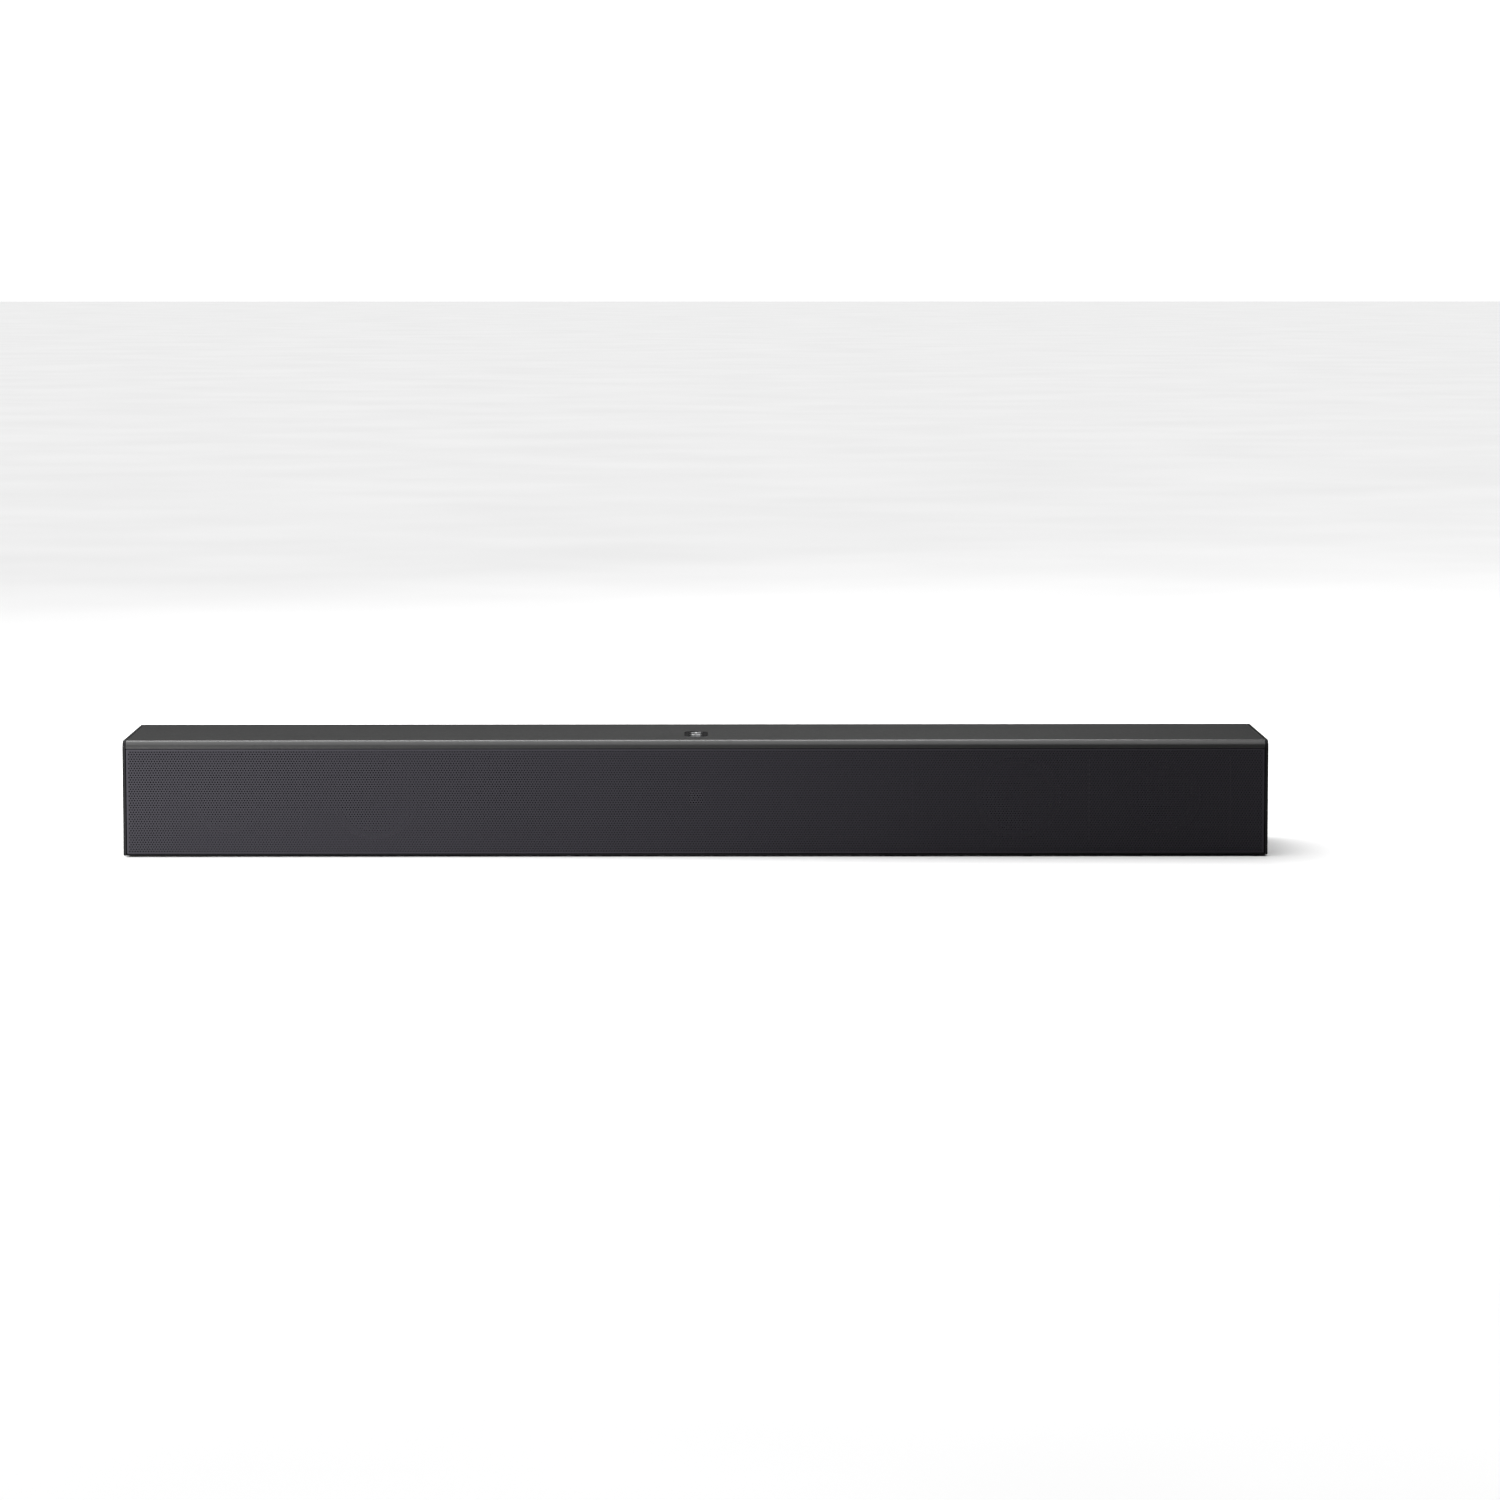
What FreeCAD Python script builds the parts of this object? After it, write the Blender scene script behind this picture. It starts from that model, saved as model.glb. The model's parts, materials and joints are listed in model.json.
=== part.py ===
import FreeCAD, Part
import math
import os

# Two-channel soundbar with built-in woofers.
# Frame: +X to the listener's right, -Y to the front (the grille), +Z up.
# Origin: centre of the footprint, on the plane the rubber feet stand on.
# Every size is in millimetres.

V = FreeCAD.Vector
X_AXIS = V(1, 0, 0)
Y_AXIS = V(0, 1, 0)
Z_AXIS = V(0, 0, 1)
SIDES = (-1, 1)
PAST = 1.0  # how far a cutter runs past the faces it opens
TOUCH = 1e-6  # closer than this counts as the same place

# ---- Overall size -------------------------------------------------------------------------------
LENGTH = 640.0
DEPTH = 101.0
HEIGHT = 65.5
FOOT_GAP = 1.0
FRONT = -DEPTH / 2
BACK = DEPTH / 2
HALF = LENGTH / 2

# ---- Moulded shell ------------------------------------------------------------------------------
WALL = 2.4
FRONT_TOP_RADIUS = 4.5
BACK_TOP_RADIUS = 2.0
BOTTOM_RADIUS = 0.8
INSIDE_RADIUS_SHARE = 0.3
SEAM = 0.3
CAP_PLATE = 1.6
CAP_EDGE_RADIUS = 0.5
CAP_RIM_DEPTH = 8.4
CAP_RIM_WALL = 2.0
SHELL_END = HALF - CAP_PLATE - SEAM
FLOOR_TOP = FOOT_GAP + WALL
CEILING = HEIGHT - WALL
LIP_BOTTOM = 61.0
SKIRT_BOTTOM = 57.0
REAR_WALL_INSIDE = BACK - WALL
TONGUE_WALL = 1.0
TONGUE_TOP = 59.5
TONGUE_ROOT = 54.0
PARTITION_X = 112.0
PARTITION_WALL = 2.0

# ---- Grille and baffle --------------------------------------------------------------------------
GRILLE_SHEET = 0.8
GRILLE_END_GAP = 0.1
GRILLE_TOP = LIP_BOTTOM - SEAM
GRILLE_BOTTOM = 1.9
GRILLE_BEND = 0.5
BAFFLE_FRONT = -46.5
BAFFLE_BACK = -43.5
BAFFLE_HALF = SHELL_END - GRILLE_END_GAP
BAFFLE_FIT = 0.2
FLOOR_FRONT = BAFFLE_FRONT + 0.1
APRON_TOP = GRILLE_BOTTOM - 0.2
RIB_BOTTOM = 8.0
GRILLE_RIB_XS = (-300.0, -221.0, -122.0, -40.0, 40.0, 122.0, 221.0, 300.0)
GRILLE_RIB_WALL = 2.0
GRILLE_RIB_GAP = 0.1
GRILLE_RIB_MARGIN = 5.0
LOCATING_RIB_TOP = 5.6
LOCATING_RIB_WALL = 1.2

# ---- Case screws and their posts ----------------------------------------------------------------
CASE_SCREW_SPOTS = (
    [(side * x, -36.0) for side in SIDES for x in (128.0, 221.0, 303.0)]
    + [(side * x, 40.0) for side in SIDES for x in (100.0, 221.0, 303.0)]
)
POST_RADIUS = 3.5
BOSS_RADIUS = 4.5
BOSS_TOP = 12.0
SCREW_SEAT = 6.0
SCREW_POCKET_RADIUS = 3.3
SCREW_HEAD_RADIUS = 2.9
SCREW_HEAD = 2.2
SCREW_RADIUS = 1.5
SCREW_TIP = 22.0
SCREW_CLEARANCE = 0.2
CROSS_WIDTH = 0.8
CROSS_LENGTH_SHARE = 1.1
CROSS_DEPTH = 0.9
CROSS_CUTTER_DEPTH = 0.909

# ---- Feet and wall-mount inserts ----------------------------------------------------------------
FOOT_SIZE = (26.0, 12.0)
FOOT_POCKET = 0.6
FOOT_CORNER = 4.8
FOOT_XS = (-250.0, 250.0)
FOOT_YS = (-33.0, 33.0)
INSERT_XS = (-160.0, 160.0)
INSERT_Z = 30.0
INSERT_RADIUS = 2.9
INSERT_THREAD_RADIUS = 1.65
INSERT_LENGTH = 8.0
INSERT_BOSS_RADIUS = 5.5
INSERT_BOSS_END = 38.0
INSERT_HOLE_END = 41.5

# ---- Bass-reflex ports --------------------------------------------------------------------------
PORT_XS = (-270.0, 270.0)
PORT_BORE = 10.0
PORT_OUTER = 12.0
PORT_RING = 17.0
PORT_FLANGE = 19.0
PORT_FLANGE_THICK = 1.2
PORT_INNER_END = 0.0
PORT_MOUTH = 50.3
PORT_FLARE = 4.0
PORT_FLARE_DEPTH = 6.0
PORT_FLARE_STEPS = 6
PORT_HOLE_CLEARANCE = 0.1

# ---- Connector bay in the rear ------------------------------------------------------------------
BAY_HALF = 72.0
BAY_TOP = 36.0
BAY_WALL_FACE = 28.0
BAY_FIT = 0.1
CONNECTOR_FACE = 27.6
BOARD_BACK_EDGE = 25.2

# ---- Controls on the top ------------------------------------------------------------------------
CONTROL_Y = -12.0
BUTTON_PITCH = 10.0
BUTTON_RADIUS = 4.0
BUTTON_TOP = 65.3
BUTTON_FLANGE_RADIUS = 4.9
BUTTON_FLANGE_TOP = 61.7
BUTTON_FLANGE_THICK = 1.0
BUTTON_STEM_RADIUS = 1.4
BUTTON_STEM_END = 59.5
BUTTON_GAP = 0.3
BUTTON_EDGE_RADIUS = 0.4
BEZEL_HALF_WIDTH = 6.5
BEZEL_STRAIGHT = 21.0
BEZEL_TOP = 65.4
BEZEL_UNDER = 61.9
BEZEL_LIP = 2.0
BEZEL_FIT = 0.1
CONTROL_BOARD_Z = (54.0, 55.6)
CONTROL_BOARD_HALF_WIDTH = 15.0
CONTROL_BOARD_Y = (-40.0, 10.0)
CONTROL_POST_X = 11.5
CONTROL_POST_RADIUS = 2.4
SWITCH_SIZE = 6.0
SWITCH_TOP = 59.0
SWITCH_WELL_RADIUS = 1.8
SWITCH_WELL_DEPTH = 1.2
LIGHT_PIPE_Y = -35.0
LIGHT_PIPE_RADIUS = 1.0
LIGHT_PIPE_TOP = 65.4
LIGHT_PIPE_FOOT = 57.0
LIGHT_PIPE_COLLAR_RADIUS = 2.0
LIGHT_PIPE_COLLAR = 1.0
BUTTONS = (
    ("volume_up_button", CONTROL_Y + BUTTON_PITCH),
    ("multi_function_button", CONTROL_Y),
    ("volume_down_button", CONTROL_Y - BUTTON_PITCH),
)

# ---- Main board and connectors ------------------------------------------------------------------
BOARD_Z = (9.0, 10.6)
BOARD_HALF = 68.0
BOARD_FRONT_EDGE = -24.0
BOARD_SCREW_SPOTS = ((-63.0, -19.0), (63.0, -19.0), (-63.0, 14.0), (63.0, 14.0))
BOARD_POST_RADIUS = 3.0
BOARD_HOLE_GAP = 0.1
SMALL_SCREW_RADIUS = 1.0
SMALL_SCREW_HEAD_RADIUS = 2.0
SMALL_SCREW_HEAD = 1.2
SMALL_SCREW_LENGTH = 5.0
DC_JACK_X = -48.0
HDMI_X = -20.0
USB_X = 8.0
OPTICAL_X = 34.0
SOCKET_CLEARANCE = 0.4
BOARD_TOP = BOARD_Z[1]
CAPACITOR_SPOTS = (
    (-57.0, 5.0), (-47.0, -12.0), (-47.0, -1.0), (-36.0, 8.0), (46.0, -8.0), (54.0, 5.0)
)
CAPACITOR_RADIUS = 4.0
CAPACITOR_HEIGHT = 11.5
CHIPS = (
    ((-24.0, -8.0), (12.0, 12.0, 1.4)),
    ((8.0, -4.0), (14.0, 14.0, 1.6)),
    ((26.0, -2.0), (10.0, 8.0, 1.2)),
    ((44.5, 6.0), (8.0, 12.0, 2.4)),
)
HEAT_SINK_SIZE = (20.0, 16.0, 12.0)
FIN_COUNT = 6
FIN_GAP = 2.2
FIN_BASE = 2.5

# Sockets: sizes are (width, height); depths run forwards from the sockets' face.
DC_JACK_NOSE = (9.0, 10.8)
DC_JACK_DEPTH = 13.6
DC_BORE_RADIUS = 3.1
DC_BORE_DEPTH = 10.0
DC_PIN_RADIUS = 1.0
DC_PIN_LENGTH = 9.0
HDMI_SHELL = (15.0, 5.6)
HDMI_LIFT = 0.6
HDMI_DEPTH = 12.0
HDMI_TONGUE = 1.1
USB_SHELL = (14.4, 7.0)
USB_LIFT = 0.4
USB_DEPTH = 13.0
USB_TONGUE = 1.8
SHELL_WALL = 0.35
SOCKET_BACK = 3.0
TONGUE_SIDE_GAP = 1.2
TONGUE_SETBACK = 1.5
SOCKET_STAND_INSET = 2.0
SOCKET_STAND_SETBACK = 6.0
OPTICAL_BODY = (11.0, 11.0)
OPTICAL_DEPTH = 14.0
OPTICAL_CAVITY = 8.6
CAVITY_DEPTH = 10.5
OPTICAL_Z = BOARD_TOP + OPTICAL_BODY[1] / 2
FERRULE_RADIUS = 1.4
FERRULE_LENGTH = 1.5
FERRULE_DROP = 1.0
SHUTTER_PIN_RADIUS = 0.5
SHUTTER_HOLE_RADIUS = 0.56
SHUTTER_THICK = 0.8
SHUTTER_GAP = 0.25
SHUTTER_Y = CONNECTOR_FACE - 0.9
SHUTTER_PIN_Z = OPTICAL_Z + OPTICAL_CAVITY / 2 - 0.8

# ---- Loudspeaker drivers ------------------------------------------------------------------------
DRIVER_Z = 33.25
WOOFER_FRAME = 27.0
FULL_RANGE_FRAME = 23.0
DRIVERS = (
    ("woofer_left", -180.0, WOOFER_FRAME),
    ("woofer_right", 180.0, WOOFER_FRAME),
    ("full_range_left", -262.0, FULL_RANGE_FRAME),
    ("full_range_right", 262.0, FULL_RANGE_FRAME),
)
EAR_OFFSET = 1.6
EAR_RADIUS = 3.2
EAR_THICK = 2.0
DRIVER_SCREW_RADIUS = 1.3
DRIVER_SCREW_HEAD_RADIUS = 2.4
DRIVER_SCREW_HEAD = 1.6
DRIVER_SCREW_BITE = 2.4
EAR_OVERLAP = 0.5
BAFFLE_OPENING = 24.0

# Outlines are (radius, depth behind the baffle) of the woofer; smaller drivers are scaled.
BASKET_OUTLINE = (
    (27.0, 0.0), (27.0, 2.0), (24.0, 2.0), (15.8, 12.5), (15.8, 18.0), (7.7, 18.0), (7.7, 15.0),
    (12.6, 15.0), (12.6, 12.0), (14.6, 12.0), (14.6, 10.9), (22.2, 2.0), (22.2, 0.8), (25.2, 0.8),
    (25.2, 0.0),
)
BASKET_WINDOW_HALF = 7.0
BASKET_WINDOW_DEPTHS = (4.0, 10.0)
BASKET_WINDOW_RADIUS = 12.0
LUG_DEPTH = 6.0
LUG_ROOT_RADIUS = 19.0
LUG_INSET = 3.0
LUG_THICK = 2.0
LUG_HEIGHT = 8.0
MAGNET_OUTLINE = ((9.5, 18.0), (16.5, 18.0), (16.5, 24.0), (9.5, 24.0))
YOKE_OUTLINE = (
    (0.0, 15.3), (5.9, 15.3), (6.3, 15.7), (6.3, 24.0), (15.5, 24.0), (15.5, 26.4), (14.9, 27.0),
    (0.0, 27.0),
)
CONE_OUTLINE = ((19.4, 0.8), (19.4, 1.4), (18.4, 1.4), (7.6, 9.4), (7.0, 9.4), (7.0, 8.5), (18.0, 0.8))
CONE_NECK_DEPTH = 8.5
DUST_CAP_RADIUS = 7.6
DUST_CAP_RISE = 3.0
DUST_CAP_SHEET = 0.6
COIL_OUTLINE = ((6.7, 8.9), (7.0, 8.9), (7.0, 13.6), (7.4, 13.6), (7.4, 17.0), (6.7, 17.0))
SPIDER_OUTLINE = (
    (7.0, 11.4), (8.2, 11.4), (9.2, 10.7), (10.2, 11.4), (11.2, 10.7), (12.2, 11.4), (14.2, 11.4),
    (14.2, 12.0), (12.2, 12.0), (11.2, 11.3), (10.2, 12.0), (9.2, 11.3), (8.2, 12.0), (7.0, 12.0),
)
ROLL_CENTRE = (20.8, 0.5)
ROLL_OUTSIDE = 1.9
ROLL_INSIDE = 1.4
SURROUND_RIMS = ((18.2, 19.4), (22.2, 25.0))
SURROUND_DEPTHS = (0.2, 0.8)

# ---- Remote-control eye: sizes are (width, depth, height) ---------------------------------------
IR_BODY = (7.0, 5.5, 8.0)
IR_BACK = BAFFLE_BACK + 1.5
IR_LENS_RADIUS = 2.5
IR_LENS_SUNK = 1.2
IR_CARRIER = (20.0, 1.2, 16.0)
IR_WINDOW_GAP = 0.2

# ---- Internal leads -----------------------------------------------------------------------------
LEAD_RADIUS = 1.0
BEND_SHARE = 0.45
LEAD_Z = 14.0
WOOFER_LEAD_Y = -12.0
FULL_RANGE_LEAD_Y = -6.0
LEAD_TURN_XS = {WOOFER_FRAME: 143.0, FULL_RANGE_FRAME: 232.0}
PLUG_X = 60.0
PLUG_LENGTH = 6.0
PLUG_NOSE = 1.0
PLUG_HALF = 2.0
SIGNAL_PLUG = 5.0
SIGNAL_LEAD_Z = BOARD_TOP + 4.0
CONTROL_LEAD_POINTS = (
    (11.0, 4.0, CONTROL_BOARD_Z[0]), (11.0, 4.0, 36.0), (30.0, -12.0, 36.0),
    (30.0, -12.0, SIGNAL_LEAD_Z),
)
EYE_LEAD_POINTS = (
    (0.0, IR_BACK + IR_CARRIER[1], DRIVER_Z), (0.0, -30.0, DRIVER_Z), (0.0, -18.0, 20.0),
    (0.0, -18.0, SIGNAL_LEAD_Z),
)


# ---- Helpers ------------------------------------------------------------------------------------
def box(x_range, y_range, z_range):
    """Axis-aligned block between two corners."""
    size = [high - low for low, high in (x_range, y_range, z_range)]
    return Part.makeBox(*size, V(x_range[0], y_range[0], z_range[0]))


def middle_box(centre_x, width, y_range, z_range):
    """Block centred on centre_x along X."""
    return box((centre_x - width / 2, centre_x + width / 2), y_range, z_range)


def rod(radius, base, axis, length):
    """Cylinder that starts at base and runs along axis."""
    return Part.makeCylinder(radius, length, V(*base), axis)


def fuse(shapes):
    """One solid made of shapes that share faces or volume."""
    first, *rest = shapes
    return first.fuse(rest).removeSplitter() if rest else first


def cut(shape, tools):
    return shape.cut(Part.makeCompound(tools))


def group(solids):
    """Separate solids kept together in one node."""
    return Part.makeCompound(solids)


def pill(half_width, straight, centre_y, z_range):
    """Upright block with round front and back ends, centred on X = 0."""
    z_low, z_high = z_range
    half_straight = straight / 2
    ends = [
        rod(half_width, (0, centre_y + end * half_straight, z_low), Z_AXIS, z_high - z_low)
        for end in SIDES
    ]
    body = box(
        (-half_width, half_width), (centre_y - half_straight, centre_y + half_straight), z_range
    )
    return fuse([body] + ends)


def fillet_corner(solid, y, z, radius):
    """Round the edge along X that lies at (y, z)."""
    edges = [
        edge for edge in solid.Edges
        if all(abs(v.Y - y) < TOUCH and abs(v.Z - z) < TOUCH for v in edge.Vertexes)
    ]
    return solid.makeFillet(radius, edges)


def bar_block(x_range, inset=0.0, share=1.0):
    """The soundbar's rounded outline, drawn in by inset and extruded along X.

    The three small corner radii are multiplied by share.
    """
    low, high = FOOT_GAP + inset, HEIGHT - inset
    front, back = FRONT + inset, BACK - inset
    block = box(x_range, (front, back), (low, high))
    block = fillet_corner(block, front, high, FRONT_TOP_RADIUS - inset)
    block = fillet_corner(block, back, high, BACK_TOP_RADIUS * share)
    block = fillet_corner(block, front, low, BOTTOM_RADIUS * share)
    return fillet_corner(block, back, low, BOTTOM_RADIUS * share)


def shell_tube():
    """Hollow bar with walls of one thickness, open at both ends."""
    outer = bar_block((-SHELL_END, SHELL_END))
    inner = bar_block((-SHELL_END - PAST, SHELL_END + PAST), WALL, INSIDE_RADIUS_SHARE)
    return outer.cut(inner)


def tube_along(points, radius):
    """Round lead through points: straight runs joined by tangent arcs."""
    corners = [V(*p) for p in points]
    edges = []
    start = corners[0]
    for before, corner, after in zip(corners, corners[1:], corners[2:]):
        run_in = corner - before
        run_out = after - corner
        turn = run_in.getAngle(run_out)
        reach = BEND_SHARE * min(run_in.Length, run_out.Length)
        bend = reach / math.tan(turn / 2)
        u_in = V(run_in).normalize()
        u_out = V(run_out).normalize()
        arc_start = corner - u_in * reach
        arc_end = corner + u_out * reach
        to_centre = V(u_out - u_in).normalize()
        middle = corner + to_centre * (bend / math.cos(turn / 2) - bend)
        edges.append(Part.LineSegment(start, arc_start).toShape())
        edges.append(Part.Arc(arc_start, middle, arc_end).toShape())
        start = arc_end
    edges.append(Part.LineSegment(start, corners[-1]).toShape())
    path = Part.Wire(edges)
    direction = corners[1] - corners[0]
    section = Part.Wire(Part.makeCircle(radius, corners[0], direction))
    return path.makePipeShell([section], True, False)


def revolve_about_y(outline, centre):
    """Turn an outline of (radius, depth) points about the Y line through centre."""
    x, y, z = centre
    corners = [V(x + r, y + depth, z) for r, depth in outline]
    face = Part.Face(Part.makePolygon(corners + corners[:1]))
    return face.revolve(V(x, y, z), Y_AXIS, 360)


def cross_head_screw(tip, axis, shank_radius, shank_length, head_radius, head_height):
    """Pan-head screw: the shank runs along axis from the head's underside at tip."""
    start = V(*tip)
    head = Part.makeCylinder(head_radius, head_height, start - axis * head_height, axis)
    shank = Part.makeCylinder(shank_radius, shank_length, start, axis)
    screw = fuse([head, shank])
    middle = start - axis * (head_height - CROSS_DEPTH / 2)
    recess = (head_radius * CROSS_LENGTH_SHARE, CROSS_WIDTH)
    for spans in (recess, recess[::-1]):
        across = iter(spans)
        size = [CROSS_CUTTER_DEPTH if abs(a) > 0.5 else next(across) for a in axis]
        screw = screw.cut(Part.makeBox(*size, middle - V(*size) / 2))
    return screw


# ---- Housing ------------------------------------------------------------------------------------
def top_cover():
    tube = shell_tube()
    front_zone = box((-HALF, HALF), (FRONT, 0), (LIP_BOTTOM, HEIGHT))
    back_zone = box((-HALF, HALF), (0, BACK), (SKIRT_BOTTOM, HEIGHT))
    cover = tube.common(fuse([front_zone, back_zone]))
    posts = [
        rod(POST_RADIUS, (x, y, BOSS_TOP), Z_AXIS, CEILING - BOSS_TOP) for x, y in CASE_SCREW_SPOTS
    ]
    posts += [
        rod(CONTROL_POST_RADIUS, (side * CONTROL_POST_X, CONTROL_Y, CONTROL_BOARD_Z[1]), Z_AXIS,
            CEILING - CONTROL_BOARD_Z[1])
        for side in SIDES
    ]
    locating_rib = box(
        (-SHELL_END + CAP_RIM_DEPTH, SHELL_END - CAP_RIM_DEPTH),
        (BAFFLE_BACK, BAFFLE_BACK + LOCATING_RIB_WALL),
        (CEILING - LOCATING_RIB_TOP + FLOOR_TOP, CEILING),
    )
    cover = fuse([cover, locating_rib] + posts)
    holes = [
        rod(SCREW_RADIUS, (x, y, BOSS_TOP - PAST), Z_AXIS, SCREW_TIP - BOSS_TOP + 3 * PAST)
        for x, y in CASE_SCREW_SPOTS
    ]
    holes += [
        rod(SMALL_SCREW_RADIUS, (side * CONTROL_POST_X, CONTROL_Y, CONTROL_BOARD_Z[1] - PAST), Z_AXIS,
            SMALL_SCREW_LENGTH)
        for side in SIDES
    ]
    holes.append(
        pill(BEZEL_HALF_WIDTH + BEZEL_FIT, BEZEL_STRAIGHT, CONTROL_Y, (CEILING - PAST, HEIGHT + PAST))
    )
    holes.append(
        rod(LIGHT_PIPE_RADIUS + BEZEL_FIT, (0, LIGHT_PIPE_Y, CEILING - PAST), Z_AXIS, WALL + 2 * PAST)
    )
    return cut(cover, holes)


def bay_zone(fit):
    """The connector panel's outer block, grown by fit on the sides that meet the case."""
    reach = BAY_HALF + WALL + fit
    return box((-reach, reach), (BAY_WALL_FACE - WALL - fit, BACK + fit), (0, BAY_TOP + WALL + fit))


def socket_windows():
    """Cut-outs in the bay's wall, one per socket."""
    y_range = (BAY_WALL_FACE - WALL - PAST, BAY_WALL_FACE + PAST)
    windows = []
    for x, (width, height), lift in (
        (DC_JACK_X, DC_JACK_NOSE, 0.0), (HDMI_X, HDMI_SHELL, HDMI_LIFT),
        (USB_X, USB_SHELL, USB_LIFT), (OPTICAL_X, OPTICAL_BODY, 0.0),
    ):
        low = BOARD_Z[1] + lift - SOCKET_CLEARANCE
        high = BOARD_Z[1] + lift + height + SOCKET_CLEARANCE
        windows.append(middle_box(x, width + 2 * SOCKET_CLEARANCE, y_range, (low, high)))
    return windows


def connector_panel():
    """Recessed tray, open to the rear and below, whose inner wall holds the sockets."""
    above_feet = box((-HALF, HALF), (FRONT, BACK), (FOOT_GAP, HEIGHT))
    hollow = box((-BAY_HALF, BAY_HALF), (BAY_WALL_FACE, BACK + PAST), (0, BAY_TOP))
    return cut(bay_zone(0).common(above_feet), [hollow] + socket_windows())


def rear_panel():
    """Rear wall with its tongue, wall-mount bosses, port holes and the opening for the bay."""
    wall_zone = box((-HALF, HALF), (REAR_WALL_INSIDE, BACK), (0, SKIRT_BOTTOM - SEAM))
    wall = shell_tube().common(wall_zone)
    tongue_half = SHELL_END - CAP_RIM_DEPTH
    tongue = box(
        (-tongue_half, tongue_half), (REAR_WALL_INSIDE - TONGUE_WALL, REAR_WALL_INSIDE),
        (TONGUE_ROOT, TONGUE_TOP),
    )
    bosses = [
        rod(INSERT_BOSS_RADIUS, (x, INSERT_BOSS_END, INSERT_Z), Y_AXIS,
            REAR_WALL_INSIDE - INSERT_BOSS_END)
        for x in INSERT_XS
    ]
    holes = [bay_zone(BAY_FIT)]
    holes += [
        rod(INSERT_RADIUS, (x, INSERT_HOLE_END, INSERT_Z), Y_AXIS, BACK + PAST - INSERT_HOLE_END)
        for x in INSERT_XS
    ]
    holes += [
        rod(PORT_RING + PORT_HOLE_CLEARANCE, (x, REAR_WALL_INSIDE - PAST, DRIVER_Z), Y_AXIS,
            WALL + 2 * PAST)
        for x in PORT_XS
    ]
    return cut(fuse([wall, tongue] + bosses), holes)


def bottom_case():
    """Floor tray with an apron under the grille, partitions, locating rib, bosses and posts."""
    tray_zone = box((-HALF, HALF), (FLOOR_FRONT, REAR_WALL_INSIDE), (0, FLOOR_TOP))
    apron_zone = box((-HALF, HALF), (FRONT, FLOOR_FRONT), (0, APRON_TOP))
    plate = shell_tube().common(fuse([tray_zone, apron_zone]))
    partitions = [
        sorted((side * PARTITION_X, side * (PARTITION_X + PARTITION_WALL))) for side in SIDES
    ]
    adds = [
        box(x_range, (BAFFLE_BACK + LOCATING_RIB_WALL, REAR_WALL_INSIDE - TONGUE_WALL),
            (FLOOR_TOP, CEILING - LOCATING_RIB_TOP + FLOOR_TOP))
        for x_range in partitions
    ]
    rib_half = SHELL_END - CAP_RIM_DEPTH
    adds.append(
        box((-rib_half, rib_half), (BAFFLE_BACK, BAFFLE_BACK + LOCATING_RIB_WALL),
            (FLOOR_TOP, LOCATING_RIB_TOP))
    )
    adds += [
        rod(BOSS_RADIUS, (x, y, FOOT_GAP), Z_AXIS, BOSS_TOP - FOOT_GAP) for x, y in CASE_SCREW_SPOTS
    ]
    adds += [
        rod(BOARD_POST_RADIUS, (x, y, FLOOR_TOP), Z_AXIS, BOARD_Z[0] - FLOOR_TOP)
        for x, y in BOARD_SCREW_SPOTS
    ]
    holes = [bay_zone(BAY_FIT)] + foot_blocks((0, FOOT_GAP + FOOT_POCKET))
    for x, y in CASE_SCREW_SPOTS:
        holes.append(rod(SCREW_POCKET_RADIUS, (x, y, 0), Z_AXIS, SCREW_SEAT))
        holes.append(rod(SCREW_RADIUS + SCREW_CLEARANCE, (x, y, 0), Z_AXIS, BOSS_TOP + PAST))
    for x, y in BOARD_SCREW_SPOTS:
        holes.append(rod(SMALL_SCREW_RADIUS, (x, y, FLOOR_TOP + PAST), Z_AXIS, BOARD_Z[0]))
    for x_range in partitions:
        for y in (WOOFER_LEAD_Y, FULL_RANGE_LEAD_Y):
            start = (min(x_range) - PAST, y, LEAD_Z)
            holes.append(rod(LEAD_RADIUS, start, X_AXIS, PARTITION_WALL + 2 * PAST))
    return cut(fuse([plate] + adds), holes)


def front_baffle():
    plate = box(
        (-BAFFLE_HALF, BAFFLE_HALF), (BAFFLE_FRONT, BAFFLE_BACK),
        (FLOOR_TOP + BAFFLE_FIT, CEILING - BAFFLE_FIT),
    )
    ribs = [
        middle_box(
            x, GRILLE_RIB_WALL, (FRONT + GRILLE_SHEET + GRILLE_RIB_GAP, BAFFLE_FRONT),
            (RIB_BOTTOM, GRILLE_TOP - GRILLE_RIB_MARGIN),
        )
        for x in GRILLE_RIB_XS
    ]
    holes = []
    for _, x, frame_radius in DRIVERS:
        opening = BAFFLE_OPENING * frame_radius / WOOFER_FRAME
        start = (x, BAFFLE_FRONT - PAST, DRIVER_Z)
        holes.append(rod(opening, start, Y_AXIS, BAFFLE_BACK - BAFFLE_FRONT + 2 * PAST))
        for ear_x, ear_z in ear_spots(x, frame_radius):
            holes.append(
                rod(DRIVER_SCREW_RADIUS, (ear_x, BAFFLE_BACK - DRIVER_SCREW_BITE, ear_z), Y_AXIS,
                    DRIVER_SCREW_BITE + PAST)
            )
    width, _, height = (size + 2 * IR_WINDOW_GAP for size in IR_BODY)
    holes.append(
        middle_box(0, width, (BAFFLE_FRONT - PAST, BAFFLE_BACK + PAST),
                   (DRIVER_Z - height / 2, DRIVER_Z + height / 2))
    )
    return cut(fuse([plate] + ribs), holes)


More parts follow.
